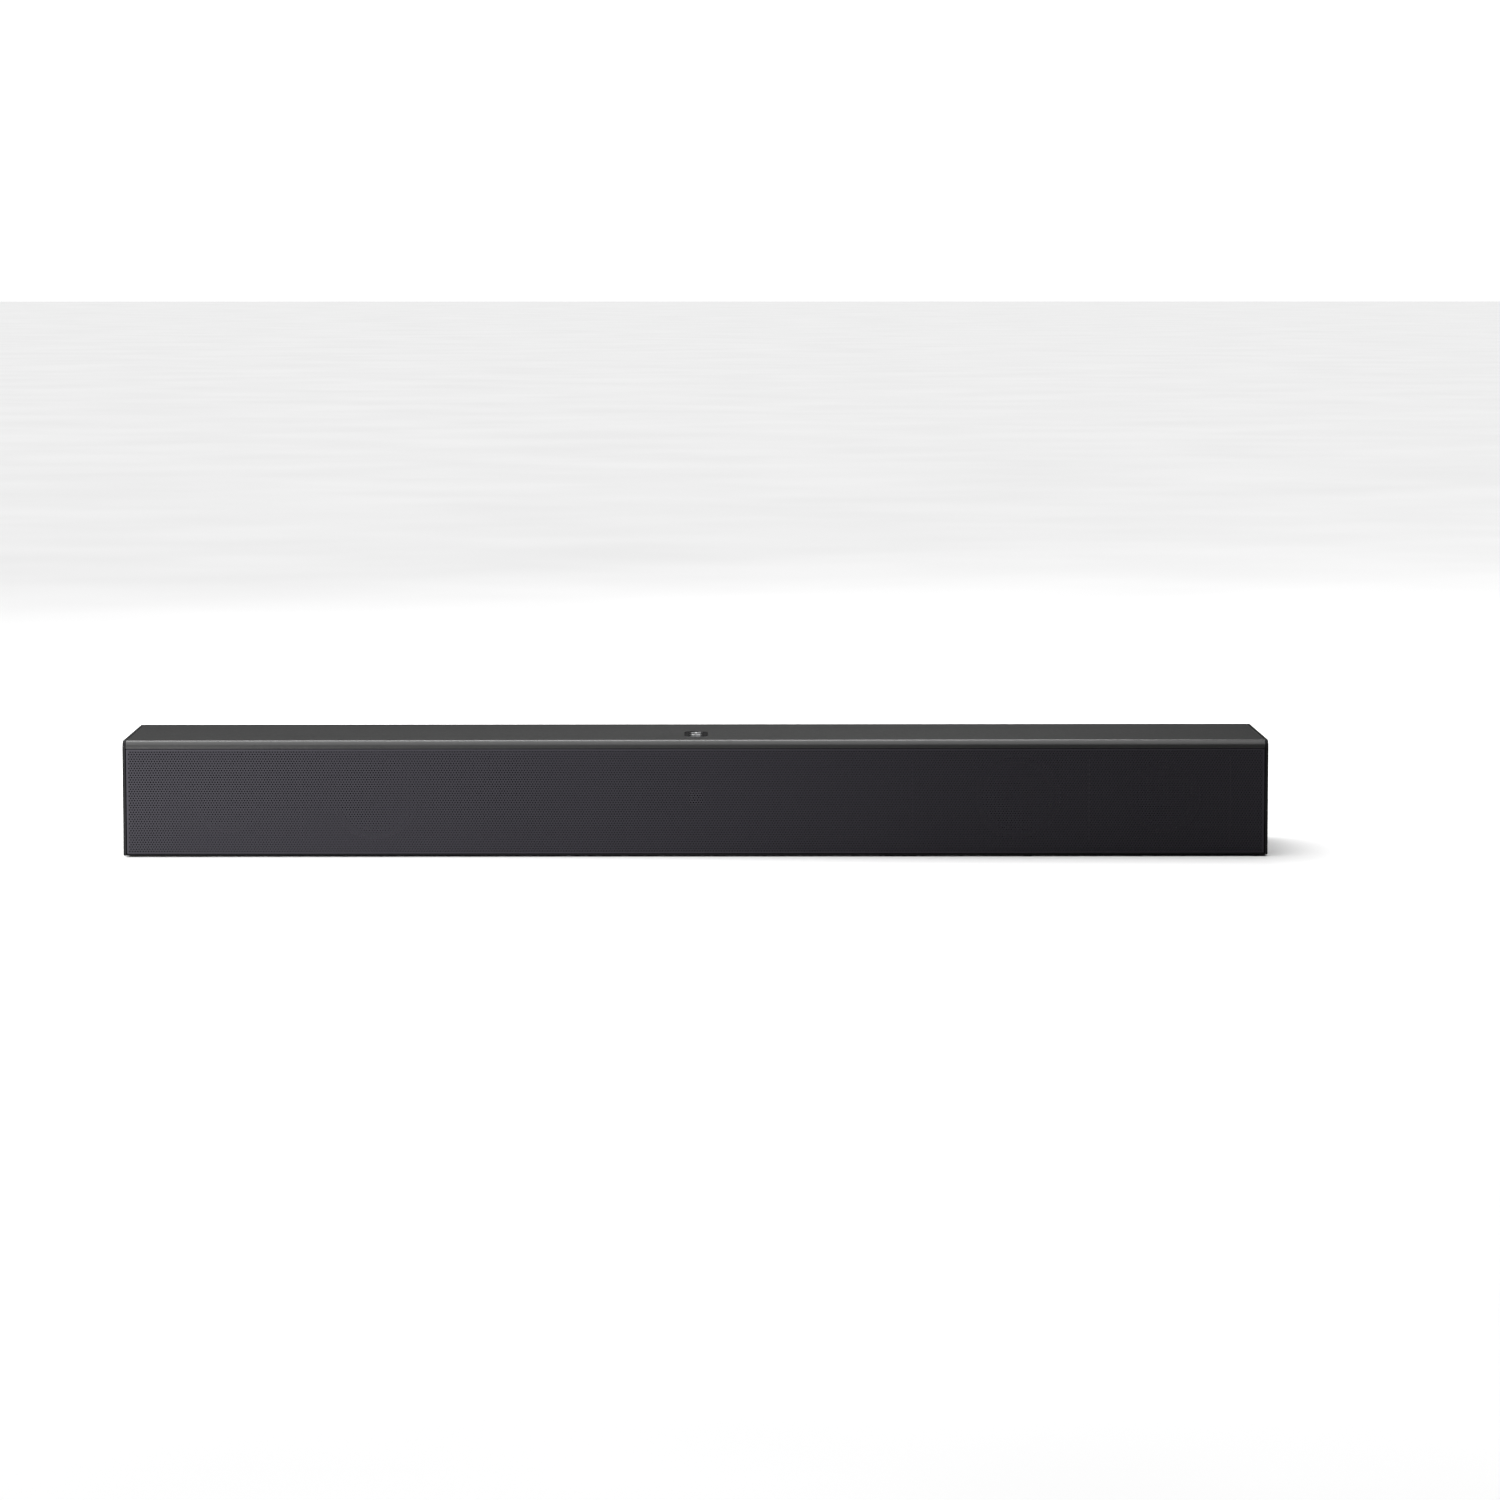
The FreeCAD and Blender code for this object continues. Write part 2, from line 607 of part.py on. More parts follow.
def front_grille():
    """Steel sheet with its four edges turned back towards the baffle."""
    outer = box((-BAFFLE_HALF, BAFFLE_HALF), (FRONT, BAFFLE_FRONT), (GRILLE_BOTTOM, GRILLE_TOP))
    outer = fillet_corner(outer, FRONT, GRILLE_TOP, GRILLE_BEND)
    outer = fillet_corner(outer, FRONT, GRILLE_BOTTOM, GRILLE_BEND)
    hollow = box(
        (-BAFFLE_HALF + GRILLE_SHEET, BAFFLE_HALF - GRILLE_SHEET),
        (FRONT + GRILLE_SHEET, BAFFLE_FRONT + PAST),
        (GRILLE_BOTTOM + GRILLE_SHEET, GRILLE_TOP - GRILLE_SHEET),
    )
    return outer.cut(hollow)


def end_cap(side):
    """Cover plate with a rim that plugs into the shell's end."""
    plate = bar_block(sorted((side * (HALF - CAP_PLATE), side * HALF)))
    outer_edges = [e for e in plate.Edges if all(abs(v.X - side * HALF) < TOUCH for v in e.Vertexes)]
    plate = plate.makeFillet(CAP_EDGE_RADIUS, outer_edges)
    rim_start = side * (HALF - CAP_PLATE)
    rim_end = side * (SHELL_END - CAP_RIM_DEPTH + SEAM)
    y_range = (BAFFLE_BACK + BAFFLE_FIT, REAR_WALL_INSIDE - BAFFLE_FIT)
    z_range = (FLOOR_TOP + BAFFLE_FIT, CEILING - BAFFLE_FIT)
    rim = box(sorted((rim_start, rim_end)), y_range, z_range)
    hollow = box(
        sorted((rim_start, rim_end - side * PAST)),
        (y_range[0] + CAP_RIM_WALL, y_range[1] - CAP_RIM_WALL),
        (z_range[0] + CAP_RIM_WALL, z_range[1] - CAP_RIM_WALL),
    )
    return fuse([plate, rim.cut(hollow)])


def foot_blocks(z_range):
    length, width = FOOT_SIZE
    feet = []
    for x in FOOT_XS:
        for y in FOOT_YS:
            foot = middle_box(x, length, (y - width / 2, y + width / 2), z_range)
            upright = [e for e in foot.Edges if abs(e.Vertexes[0].Z - e.Vertexes[1].Z) > TOUCH]
            feet.append(foot.makeFillet(FOOT_CORNER, upright))
    return feet


def case_screws():
    return group([
        cross_head_screw((x, y, SCREW_SEAT), Z_AXIS, SCREW_RADIUS, SCREW_TIP - SCREW_SEAT,
                         SCREW_HEAD_RADIUS, SCREW_HEAD)
        for x, y in CASE_SCREW_SPOTS
    ])


def wall_mount_inserts():
    """Brass bushes, tapped M4, set flush in the rear wall."""
    inserts = []
    for x in INSERT_XS:
        start = (x, BACK - INSERT_LENGTH, INSERT_Z)
        bush = rod(INSERT_RADIUS, start, Y_AXIS, INSERT_LENGTH)
        inserts.append(bush.cut(rod(INSERT_THREAD_RADIUS, start, Y_AXIS, INSERT_LENGTH)))
    return group(inserts)


def port_tubes():
    """Bass-reflex tubes: flange behind the rear wall, ring in its hole, bell mouth."""
    flange_front = REAR_WALL_INSIDE - PORT_FLANGE_THICK
    outline = [
        (PORT_BORE, PORT_INNER_END), (PORT_OUTER, PORT_INNER_END), (PORT_OUTER, flange_front),
        (PORT_FLANGE, flange_front), (PORT_FLANGE, REAR_WALL_INSIDE), (PORT_RING, REAR_WALL_INSIDE),
        (PORT_RING, PORT_MOUTH),
    ]
    for step in range(PORT_FLARE_STEPS + 1):
        angle = math.pi / 2 * step / PORT_FLARE_STEPS
        outline.append((
            PORT_BORE + PORT_FLARE * (1 - math.sin(angle)),
            PORT_MOUTH - PORT_FLARE_DEPTH * (1 - math.cos(angle)),
        ))
    return group([revolve_about_y(outline, (x, 0, DRIVER_Z)) for x in PORT_XS])


# ---- Controls -----------------------------------------------------------------------------------
def button_bezel():
    upper = pill(BEZEL_HALF_WIDTH, BEZEL_STRAIGHT, CONTROL_Y, (CEILING, BEZEL_TOP))
    lip = pill(BEZEL_HALF_WIDTH + BEZEL_LIP, BEZEL_STRAIGHT, CONTROL_Y, (BEZEL_UNDER, CEILING))
    holes = [
        rod(BUTTON_RADIUS + BUTTON_GAP, (0, y, BEZEL_UNDER - PAST), Z_AXIS,
            BEZEL_TOP - BEZEL_UNDER + 2 * PAST)
        for _, y in BUTTONS
    ]
    return cut(fuse([upper, lip]), holes)


def button(y):
    """Round cap, captive flange and the stem that presses the switch."""
    cap = rod(BUTTON_RADIUS, (0, y, BUTTON_FLANGE_TOP), Z_AXIS, BUTTON_TOP - BUTTON_FLANGE_TOP)
    rim = [e for e in cap.Edges if len(e.Vertexes) == 1 and abs(e.Vertexes[0].Z - BUTTON_TOP) < TOUCH]
    cap = cap.makeFillet(BUTTON_EDGE_RADIUS, rim)
    flange_bottom = BUTTON_FLANGE_TOP - BUTTON_FLANGE_THICK
    flange = rod(BUTTON_FLANGE_RADIUS, (0, y, flange_bottom), Z_AXIS, BUTTON_FLANGE_THICK)
    stem = rod(BUTTON_STEM_RADIUS, (0, y, BUTTON_STEM_END), Z_AXIS, flange_bottom - BUTTON_STEM_END)
    plunger_end = SWITCH_TOP - SWITCH_WELL_DEPTH / 2
    plunger = rod(BUTTON_STEM_RADIUS, (0, y, plunger_end), Z_AXIS, BUTTON_STEM_END - plunger_end)
    return fuse([cap, flange, stem, plunger])


def control_board():
    """Board that carries the push switches, under the cover."""
    board = box(
        (-CONTROL_BOARD_HALF_WIDTH, CONTROL_BOARD_HALF_WIDTH), CONTROL_BOARD_Y, CONTROL_BOARD_Z
    )
    low, high = CONTROL_BOARD_Z
    holes = [
        rod(SMALL_SCREW_RADIUS, (side * CONTROL_POST_X, CONTROL_Y, low - PAST), Z_AXIS,
            high - low + 2 * PAST)
        for side in SIDES
    ]
    return cut(board, holes)


def tact_switches():
    """Three push switches, each with a well that the button's stem enters."""
    switches = []
    for _, y in BUTTONS:
        body = middle_box(
            0, SWITCH_SIZE, (y - SWITCH_SIZE / 2, y + SWITCH_SIZE / 2), (CONTROL_BOARD_Z[1], SWITCH_TOP)
        )
        well_start = (0, y, SWITCH_TOP - SWITCH_WELL_DEPTH)
        switches.append(body.cut(rod(SWITCH_WELL_RADIUS, well_start, Z_AXIS, SWITCH_WELL_DEPTH + PAST)))
    return group(switches)


def light_pipe():
    """Clear rod that brings the status lamp's light to the top face."""
    stem = rod(LIGHT_PIPE_RADIUS, (0, LIGHT_PIPE_Y, LIGHT_PIPE_FOOT), Z_AXIS,
               LIGHT_PIPE_TOP - LIGHT_PIPE_FOOT)
    collar = rod(LIGHT_PIPE_COLLAR_RADIUS, (0, LIGHT_PIPE_Y, CEILING - LIGHT_PIPE_COLLAR), Z_AXIS,
                 LIGHT_PIPE_COLLAR)
    return fuse([stem, collar])


def ir_receiver():
    """Remote-control eye, set in the baffle behind the grille."""
    width, depth, height = IR_BODY
    body_front = IR_BACK - depth
    body = middle_box(0, width, (body_front, IR_BACK), (DRIVER_Z - height / 2, DRIVER_Z + height / 2))
    lens = Part.makeSphere(IR_LENS_RADIUS, V(0, body_front + IR_LENS_SUNK, DRIVER_Z))
    front_only = middle_box(0, width, (FRONT + GRILLE_SHEET, body_front), (0, HEIGHT))
    carrier_width, carrier_thick, carrier_height = IR_CARRIER
    carrier = middle_box(0, carrier_width, (IR_BACK, IR_BACK + carrier_thick),
                         (DRIVER_Z - carrier_height / 2, DRIVER_Z + carrier_height / 2))
    return fuse([body, lens.common(front_only), carrier])


# ---- Main board ---------------------------------------------------------------------------------
def main_board():
    board = box((-BOARD_HALF, BOARD_HALF), (BOARD_FRONT_EDGE, BOARD_BACK_EDGE), BOARD_Z)
    low, high = BOARD_Z
    holes = [
        rod(SMALL_SCREW_RADIUS + BOARD_HOLE_GAP, (x, y, low - PAST), Z_AXIS, high - low + 2 * PAST)
        for x, y in BOARD_SCREW_SPOTS
    ]
    return cut(board, holes)


def board_chips():
    chips = []
    for (x, y), (length, width, height) in CHIPS:
        y_range = (y - width / 2, y + width / 2)
        chips.append(middle_box(x, length, y_range, (BOARD_TOP, BOARD_TOP + height)))
    return group(chips)


def heat_sink():
    """Finned block on the amplifier chip."""
    (x, y), (_, _, chip_height) = CHIPS[0]
    length, width, height = HEAT_SINK_SIZE
    bottom = BOARD_TOP + chip_height
    block = middle_box(x, length, (y - width / 2, y + width / 2), (bottom, bottom + height))
    pitch = length / FIN_COUNT
    gaps = [
        middle_box(x - length / 2 + pitch * (i + 1), FIN_GAP, (y - width, y + width),
                   (bottom + FIN_BASE, bottom + height + PAST))
        for i in range(FIN_COUNT - 1)
    ]
    return cut(block, gaps)


def board_capacitors():
    return group([
        rod(CAPACITOR_RADIUS, (x, y, BOARD_TOP), Z_AXIS, CAPACITOR_HEIGHT) for x, y in CAPACITOR_SPOTS
    ])


def dc_jack():
    """Barrel socket for a 5.5 x 2.1 mm power plug, with its centre pin."""
    width, height = DC_JACK_NOSE
    y_range = (CONNECTOR_FACE - DC_JACK_DEPTH, CONNECTOR_FACE)
    body = middle_box(DC_JACK_X, width, y_range, (BOARD_TOP, BOARD_TOP + height))
    bore_start = (DC_JACK_X, CONNECTOR_FACE - DC_BORE_DEPTH, BOARD_TOP + height / 2)
    bore = rod(DC_BORE_RADIUS, bore_start, Y_AXIS, DC_BORE_DEPTH + PAST)
    pin = rod(DC_PIN_RADIUS, bore_start, Y_AXIS, DC_PIN_LENGTH)
    return fuse([body.cut(bore), pin])


def metal_socket(x, shell, lift, depth, tongue_height):
    """Folded steel shell, open to the rear, around a flat contact tongue."""
    width, height = shell
    bottom = BOARD_TOP + lift
    front, back = CONNECTOR_FACE - depth, CONNECTOR_FACE
    outer = middle_box(x, width, (front, back), (bottom, bottom + height))
    inner = middle_box(
        x, width - 2 * SHELL_WALL, (front + SOCKET_BACK, back + PAST),
        (bottom + SHELL_WALL, bottom + height - SHELL_WALL),
    )
    middle_z = bottom + height / 2
    tongue = middle_box(
        x, width - 2 * TONGUE_SIDE_GAP, (front + SOCKET_BACK - PAST, back - TONGUE_SETBACK),
        (middle_z - tongue_height / 2, middle_z + tongue_height / 2),
    )
    stand = middle_box(
        x, width - 2 * SOCKET_STAND_INSET, (front, back - SOCKET_STAND_SETBACK), (BOARD_TOP, bottom)
    )
    return fuse([outer.cut(inner), tongue, stand])


def optical_socket():
    """Square socket with a fibre ferrule at its floor and holes for the shutter's pins."""
    width, height = OPTICAL_BODY
    body = middle_box(
        OPTICAL_X, width, (CONNECTOR_FACE - OPTICAL_DEPTH, CONNECTOR_FACE),
        (BOARD_TOP, BOARD_TOP + height),
    )
    half = OPTICAL_CAVITY / 2
    floor_y = CONNECTOR_FACE - CAVITY_DEPTH
    cavity = middle_box(
        OPTICAL_X, OPTICAL_CAVITY, (floor_y, CONNECTOR_FACE + PAST), (OPTICAL_Z - half, OPTICAL_Z + half)
    )
    pin_hole = rod(
        SHUTTER_HOLE_RADIUS, (OPTICAL_X - width / 2 - PAST, SHUTTER_Y, SHUTTER_PIN_Z), X_AXIS,
        width + 2 * PAST,
    )
    ferrule = rod(FERRULE_RADIUS, (OPTICAL_X, floor_y, OPTICAL_Z - FERRULE_DROP), Y_AXIS, FERRULE_LENGTH)
    return fuse([cut(body, [cavity, pin_hole]), ferrule])


def optical_shutter():
    """Flap across the socket's mouth, hung on two pins along its top edge."""
    half = OPTICAL_CAVITY / 2 - SHUTTER_GAP
    low = OPTICAL_Z - OPTICAL_CAVITY / 2 + SHUTTER_GAP
    flap = middle_box(
        OPTICAL_X, 2 * half, (SHUTTER_Y - SHUTTER_THICK / 2, SHUTTER_Y + SHUTTER_THICK / 2),
        (low, SHUTTER_PIN_Z),
    )
    pin_half = OPTICAL_BODY[0] / 2
    pin = rod(SHUTTER_PIN_RADIUS, (OPTICAL_X - pin_half, SHUTTER_Y, SHUTTER_PIN_Z), X_AXIS, 2 * pin_half)
    return fuse([flap, pin])


# ---- Loudspeaker drivers ------------------------------------------------------------------------
def scaled(outline, scale):
    return [(r * scale, depth * scale) for r, depth in outline]


def ear_spots(x, frame_radius):
    """Centres of the four screw ears, on the diagonals."""
    reach = (frame_radius + EAR_OFFSET) * math.sqrt(0.5)
    return [(x + sx * reach, DRIVER_Z + sz * reach) for sx in SIDES for sz in SIDES]


def basket(x, frame_radius):
    """Pressed frame with ears, windows and a terminal lug on the side towards the middle."""
    scale = frame_radius / WOOFER_FRAME
    frame = revolve_about_y(scaled(BASKET_OUTLINE, scale), (x, BAFFLE_BACK, DRIVER_Z))
    rebate_start = (x, BAFFLE_BACK - PAST, DRIVER_Z)
    rebate = rod(frame_radius - EAR_OVERLAP, rebate_start, Y_AXIS, EAR_THICK + 2 * PAST)
    ears = []
    ear_holes = []
    for ear_x, ear_z in ear_spots(x, frame_radius):
        ears.append(rod(EAR_RADIUS, (ear_x, BAFFLE_BACK, ear_z), Y_AXIS, EAR_THICK).cut(rebate))
        hole_start = (ear_x, BAFFLE_BACK - PAST, ear_z)
        ear_holes.append(rod(DRIVER_SCREW_RADIUS, hole_start, Y_AXIS, EAR_THICK + 2 * PAST))
    return fuse([
        cut(fuse([frame] + ears), ear_holes + basket_windows(x, frame_radius)),
        terminal_lug(x, frame_radius),
    ])


def terminal_lug(x, frame_radius):
    """Flat tab on the basket where the driver's lead ends."""
    inward = -math.copysign(1, x)
    root = x + inward * LUG_ROOT_RADIUS * frame_radius / WOOFER_FRAME
    tip = x + inward * (frame_radius - LUG_INSET)
    y = BAFFLE_BACK + LUG_DEPTH
    return box(sorted((root, tip)), (y - LUG_THICK / 2, y + LUG_THICK / 2),
               (DRIVER_Z - LUG_HEIGHT / 2, DRIVER_Z + LUG_HEIGHT / 2))


def basket_windows(x, frame_radius):
    """Cutters for the openings above, below and on the side away from the lug."""
    scale = frame_radius / WOOFER_FRAME
    half, inner = BASKET_WINDOW_HALF * scale, BASKET_WINDOW_RADIUS * scale
    y_range = [BAFFLE_BACK + depth * scale for depth in BASKET_WINDOW_DEPTHS]
    outer = frame_radius + PAST
    windows = [
        box((x - half, x + half), y_range, sorted((DRIVER_Z + side * inner, DRIVER_Z + side * outer)))
        for side in SIDES
    ]
    outward = math.copysign(1, x)
    windows.append(
        box(sorted((x + outward * inner, x + outward * outer)), y_range,
            (DRIVER_Z - half, DRIVER_Z + half))
    )
    return windows


def cone(x, frame_radius):
    """Paper cone with its dust cap pressed in one piece."""
    scale = frame_radius / WOOFER_FRAME
    centre = (x, BAFFLE_BACK, DRIVER_Z)
    flare = revolve_about_y(scaled(CONE_OUTLINE, scale), centre)
    rim, rise, sheet = [value * scale for value in (DUST_CAP_RADIUS, DUST_CAP_RISE, DUST_CAP_SHEET)]
    sphere_radius = (rim ** 2 + rise ** 2) / (2 * rise)
    rim_y = BAFFLE_BACK + CONE_NECK_DEPTH * scale
    sphere_centre = V(x, rim_y - rise + sphere_radius, DRIVER_Z)
    dome = Part.makeSphere(sphere_radius, sphere_centre)
    dome = dome.cut(Part.makeSphere(sphere_radius - sheet, sphere_centre))
    keep = rod(rim, (x, rim_y - rise - PAST, DRIVER_Z), Y_AXIS, rise + PAST)
    return fuse([flare, dome.common(keep)])


def surround(x, frame_radius):
    """Half-roll of rubber between the cone's edge and the basket's rebate."""
    scale = frame_radius / WOOFER_FRAME
    roll_radius, roll_depth = [value * scale for value in ROLL_CENTRE]
    roll_y = BAFFLE_BACK + roll_depth
    outside, inside = [
        Part.makeTorus(roll_radius, section * scale, V(x, roll_y, DRIVER_Z), Y_AXIS)
        for section in (ROLL_OUTSIDE, ROLL_INSIDE)
    ]
    front_half = rod(frame_radius, (x, roll_y - 2 * ROLL_OUTSIDE, DRIVER_Z), Y_AXIS, 2 * ROLL_OUTSIDE)
    roll = outside.cut(inside).common(front_half)
    near, far = SURROUND_DEPTHS
    rims = [
        revolve_about_y(
            scaled(((low, near), (high, near), (high, far), (low, far)), scale),
            (x, BAFFLE_BACK, DRIVER_Z),
        )
        for low, high in SURROUND_RIMS
    ]
    return fuse([roll] + rims)


def driver_parts(name, x, frame_radius):
    """All pieces of one driver, by node name."""
    scale = frame_radius / WOOFER_FRAME
    centre = (x, BAFFLE_BACK, DRIVER_Z)
    parts = {
        name + "_basket": basket(x, frame_radius),
        name + "_cone": cone(x, frame_radius),
        name + "_surround": surround(x, frame_radius),
    }
    for piece, outline in (
        ("magnet", MAGNET_OUTLINE), ("yoke", YOKE_OUTLINE), ("voice_coil", COIL_OUTLINE),
        ("spider", SPIDER_OUTLINE),
    ):
        parts[name + "_" + piece] = revolve_about_y(scaled(outline, scale), centre)
    return parts


def inner_screws():
    """Screws of the boards and of the drivers."""
    screws = [
        cross_head_screw((x, y, BOARD_TOP), -Z_AXIS, SMALL_SCREW_RADIUS, SMALL_SCREW_LENGTH,
                         SMALL_SCREW_HEAD_RADIUS, SMALL_SCREW_HEAD)
        for x, y in BOARD_SCREW_SPOTS
    ]
    screws += [
        cross_head_screw((side * CONTROL_POST_X, CONTROL_Y, CONTROL_BOARD_Z[0]), Z_AXIS,
                         SMALL_SCREW_RADIUS, SMALL_SCREW_LENGTH, SMALL_SCREW_HEAD_RADIUS,
                         SMALL_SCREW_HEAD)
        for side in SIDES
    ]
    for _, x, frame_radius in DRIVERS:
        screws += [
            cross_head_screw((ear_x, BAFFLE_BACK + EAR_THICK, ear_z), -Y_AXIS, DRIVER_SCREW_RADIUS,
                             EAR_THICK + DRIVER_SCREW_BITE, DRIVER_SCREW_HEAD_RADIUS,
                             DRIVER_SCREW_HEAD)
            for ear_x, ear_z in ear_spots(x, frame_radius)
        ]
    return group(screws)


# ---- Internal leads -----------------------------------------------------------------------------
def speaker_leads():
    """One lead per driver, from its plug on the main board to the basket's lug."""
    leads = []
    for _, x, frame_radius in DRIVERS:
        side = math.copysign(1, x)
        y = WOOFER_LEAD_Y if frame_radius == WOOFER_FRAME else FULL_RANGE_LEAD_Y
        turn_x = side * LEAD_TURN_XS[frame_radius]
        lug_x = x - side * (frame_radius - LUG_INSET)
        lug_y = BAFFLE_BACK + LUG_DEPTH
        points = (
            (side * PLUG_X, y, LEAD_Z), (turn_x, y, LEAD_Z), (turn_x, lug_y, LEAD_Z),
            (turn_x, lug_y, DRIVER_Z), (lug_x, lug_y, DRIVER_Z),
        )
        lead = tube_along(points, LEAD_RADIUS)
        plug = box(
            sorted((side * (PLUG_X - PLUG_LENGTH), side * (PLUG_X + PLUG_NOSE))),
            (y - PLUG_HALF, y + PLUG_HALF), (BOARD_TOP, LEAD_Z + PLUG_HALF),
        )
        leads.append(fuse([plug, lead]))
    return group(leads)


def signal_leads():
    """Leads from the main board to the control board and to the remote-control eye."""
    leads = []
    for points in (CONTROL_LEAD_POINTS, EYE_LEAD_POINTS):
        x, y, _ = points[-1]
        plug = middle_box(
            x, SIGNAL_PLUG, (y - PLUG_HALF, y + PLUG_HALF), (BOARD_TOP, BOARD_TOP + SIGNAL_PLUG)
        )
        leads.append(fuse([tube_along(points, LEAD_RADIUS), plug]))
    return group(leads)


# ---- Everything, by node name -------------------------------------------------------------------
def all_parts():
    parts = {
        "top_cover": top_cover(),
        "bottom_case": bottom_case(),
        "rear_panel": rear_panel(),
        "connector_panel": connector_panel(),
        "front_baffle": front_baffle(),
        "front_grille": front_grille(),
        "end_cap_left": end_cap(-1),
        "end_cap_right": end_cap(1),
        "rubber_feet": group(foot_blocks((0, FOOT_GAP + FOOT_POCKET))),
        "case_screws": case_screws(),
        "wall_mount_inserts": wall_mount_inserts(),
        "port_tubes": port_tubes(),
        "button_bezel": button_bezel(),
        "control_board": control_board(),
        "tact_switches": tact_switches(),
        "light_pipe": light_pipe(),
        "ir_receiver": ir_receiver(),
        "main_board": main_board(),
        "board_chips": board_chips(),
        "heat_sink": heat_sink(),
        "board_capacitors": board_capacitors(),
        "dc_jack": dc_jack(),
        "hdmi_socket": metal_socket(HDMI_X, HDMI_SHELL, HDMI_LIFT, HDMI_DEPTH, HDMI_TONGUE),
        "usb_socket": metal_socket(USB_X, USB_SHELL, USB_LIFT, USB_DEPTH, USB_TONGUE),
        "optical_socket": optical_socket(),
        "optical_shutter": optical_shutter(),
        "speaker_leads": speaker_leads(),
        "signal_leads": signal_leads(),
        "inner_screws": inner_screws(),
    }
    for name, y in BUTTONS:
        parts[name] = button(y)
    for name, x, frame_radius in DRIVERS:
        parts.update(driver_parts(name, x, frame_radius))
    return parts


def write_parts():
    os.makedirs("parts", exist_ok=True)
    for name, shape in all_parts().items():
        shape.exportStep("parts/" + name + ".step")
        print(f"{name}: {len(shape.Solids)} solid(s), {shape.Volume / 1000:.2f} cm3, "
              f"valid {shape.isValid()}")


write_parts()
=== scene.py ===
import json
import math

import bmesh
import bpy
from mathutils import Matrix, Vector


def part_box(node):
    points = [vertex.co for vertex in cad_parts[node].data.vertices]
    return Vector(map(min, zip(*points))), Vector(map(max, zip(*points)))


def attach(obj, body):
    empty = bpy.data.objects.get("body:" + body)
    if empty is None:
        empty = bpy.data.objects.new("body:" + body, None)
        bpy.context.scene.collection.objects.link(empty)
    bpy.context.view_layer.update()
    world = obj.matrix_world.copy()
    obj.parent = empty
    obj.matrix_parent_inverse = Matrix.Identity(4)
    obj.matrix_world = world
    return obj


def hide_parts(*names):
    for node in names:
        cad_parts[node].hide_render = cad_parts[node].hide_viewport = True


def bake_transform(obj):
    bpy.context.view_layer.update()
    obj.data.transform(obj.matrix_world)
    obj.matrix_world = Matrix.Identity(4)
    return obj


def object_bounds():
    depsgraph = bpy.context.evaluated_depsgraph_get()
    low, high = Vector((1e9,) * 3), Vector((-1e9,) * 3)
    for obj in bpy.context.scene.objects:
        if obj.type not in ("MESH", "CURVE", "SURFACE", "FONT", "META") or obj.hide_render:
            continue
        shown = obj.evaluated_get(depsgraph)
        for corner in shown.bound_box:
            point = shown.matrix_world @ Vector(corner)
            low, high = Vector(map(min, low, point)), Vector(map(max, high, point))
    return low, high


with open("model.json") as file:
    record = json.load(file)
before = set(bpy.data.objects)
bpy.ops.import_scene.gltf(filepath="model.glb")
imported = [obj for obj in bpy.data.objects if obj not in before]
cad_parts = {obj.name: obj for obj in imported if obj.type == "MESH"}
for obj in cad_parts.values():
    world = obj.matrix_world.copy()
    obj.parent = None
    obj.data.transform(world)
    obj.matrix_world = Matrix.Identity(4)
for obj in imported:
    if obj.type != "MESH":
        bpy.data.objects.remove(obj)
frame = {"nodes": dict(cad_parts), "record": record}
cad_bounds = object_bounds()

MM = 0.001
NODES = frame["nodes"]
LOW, HIGH = (Vector(corner) for corner in cad_bounds)


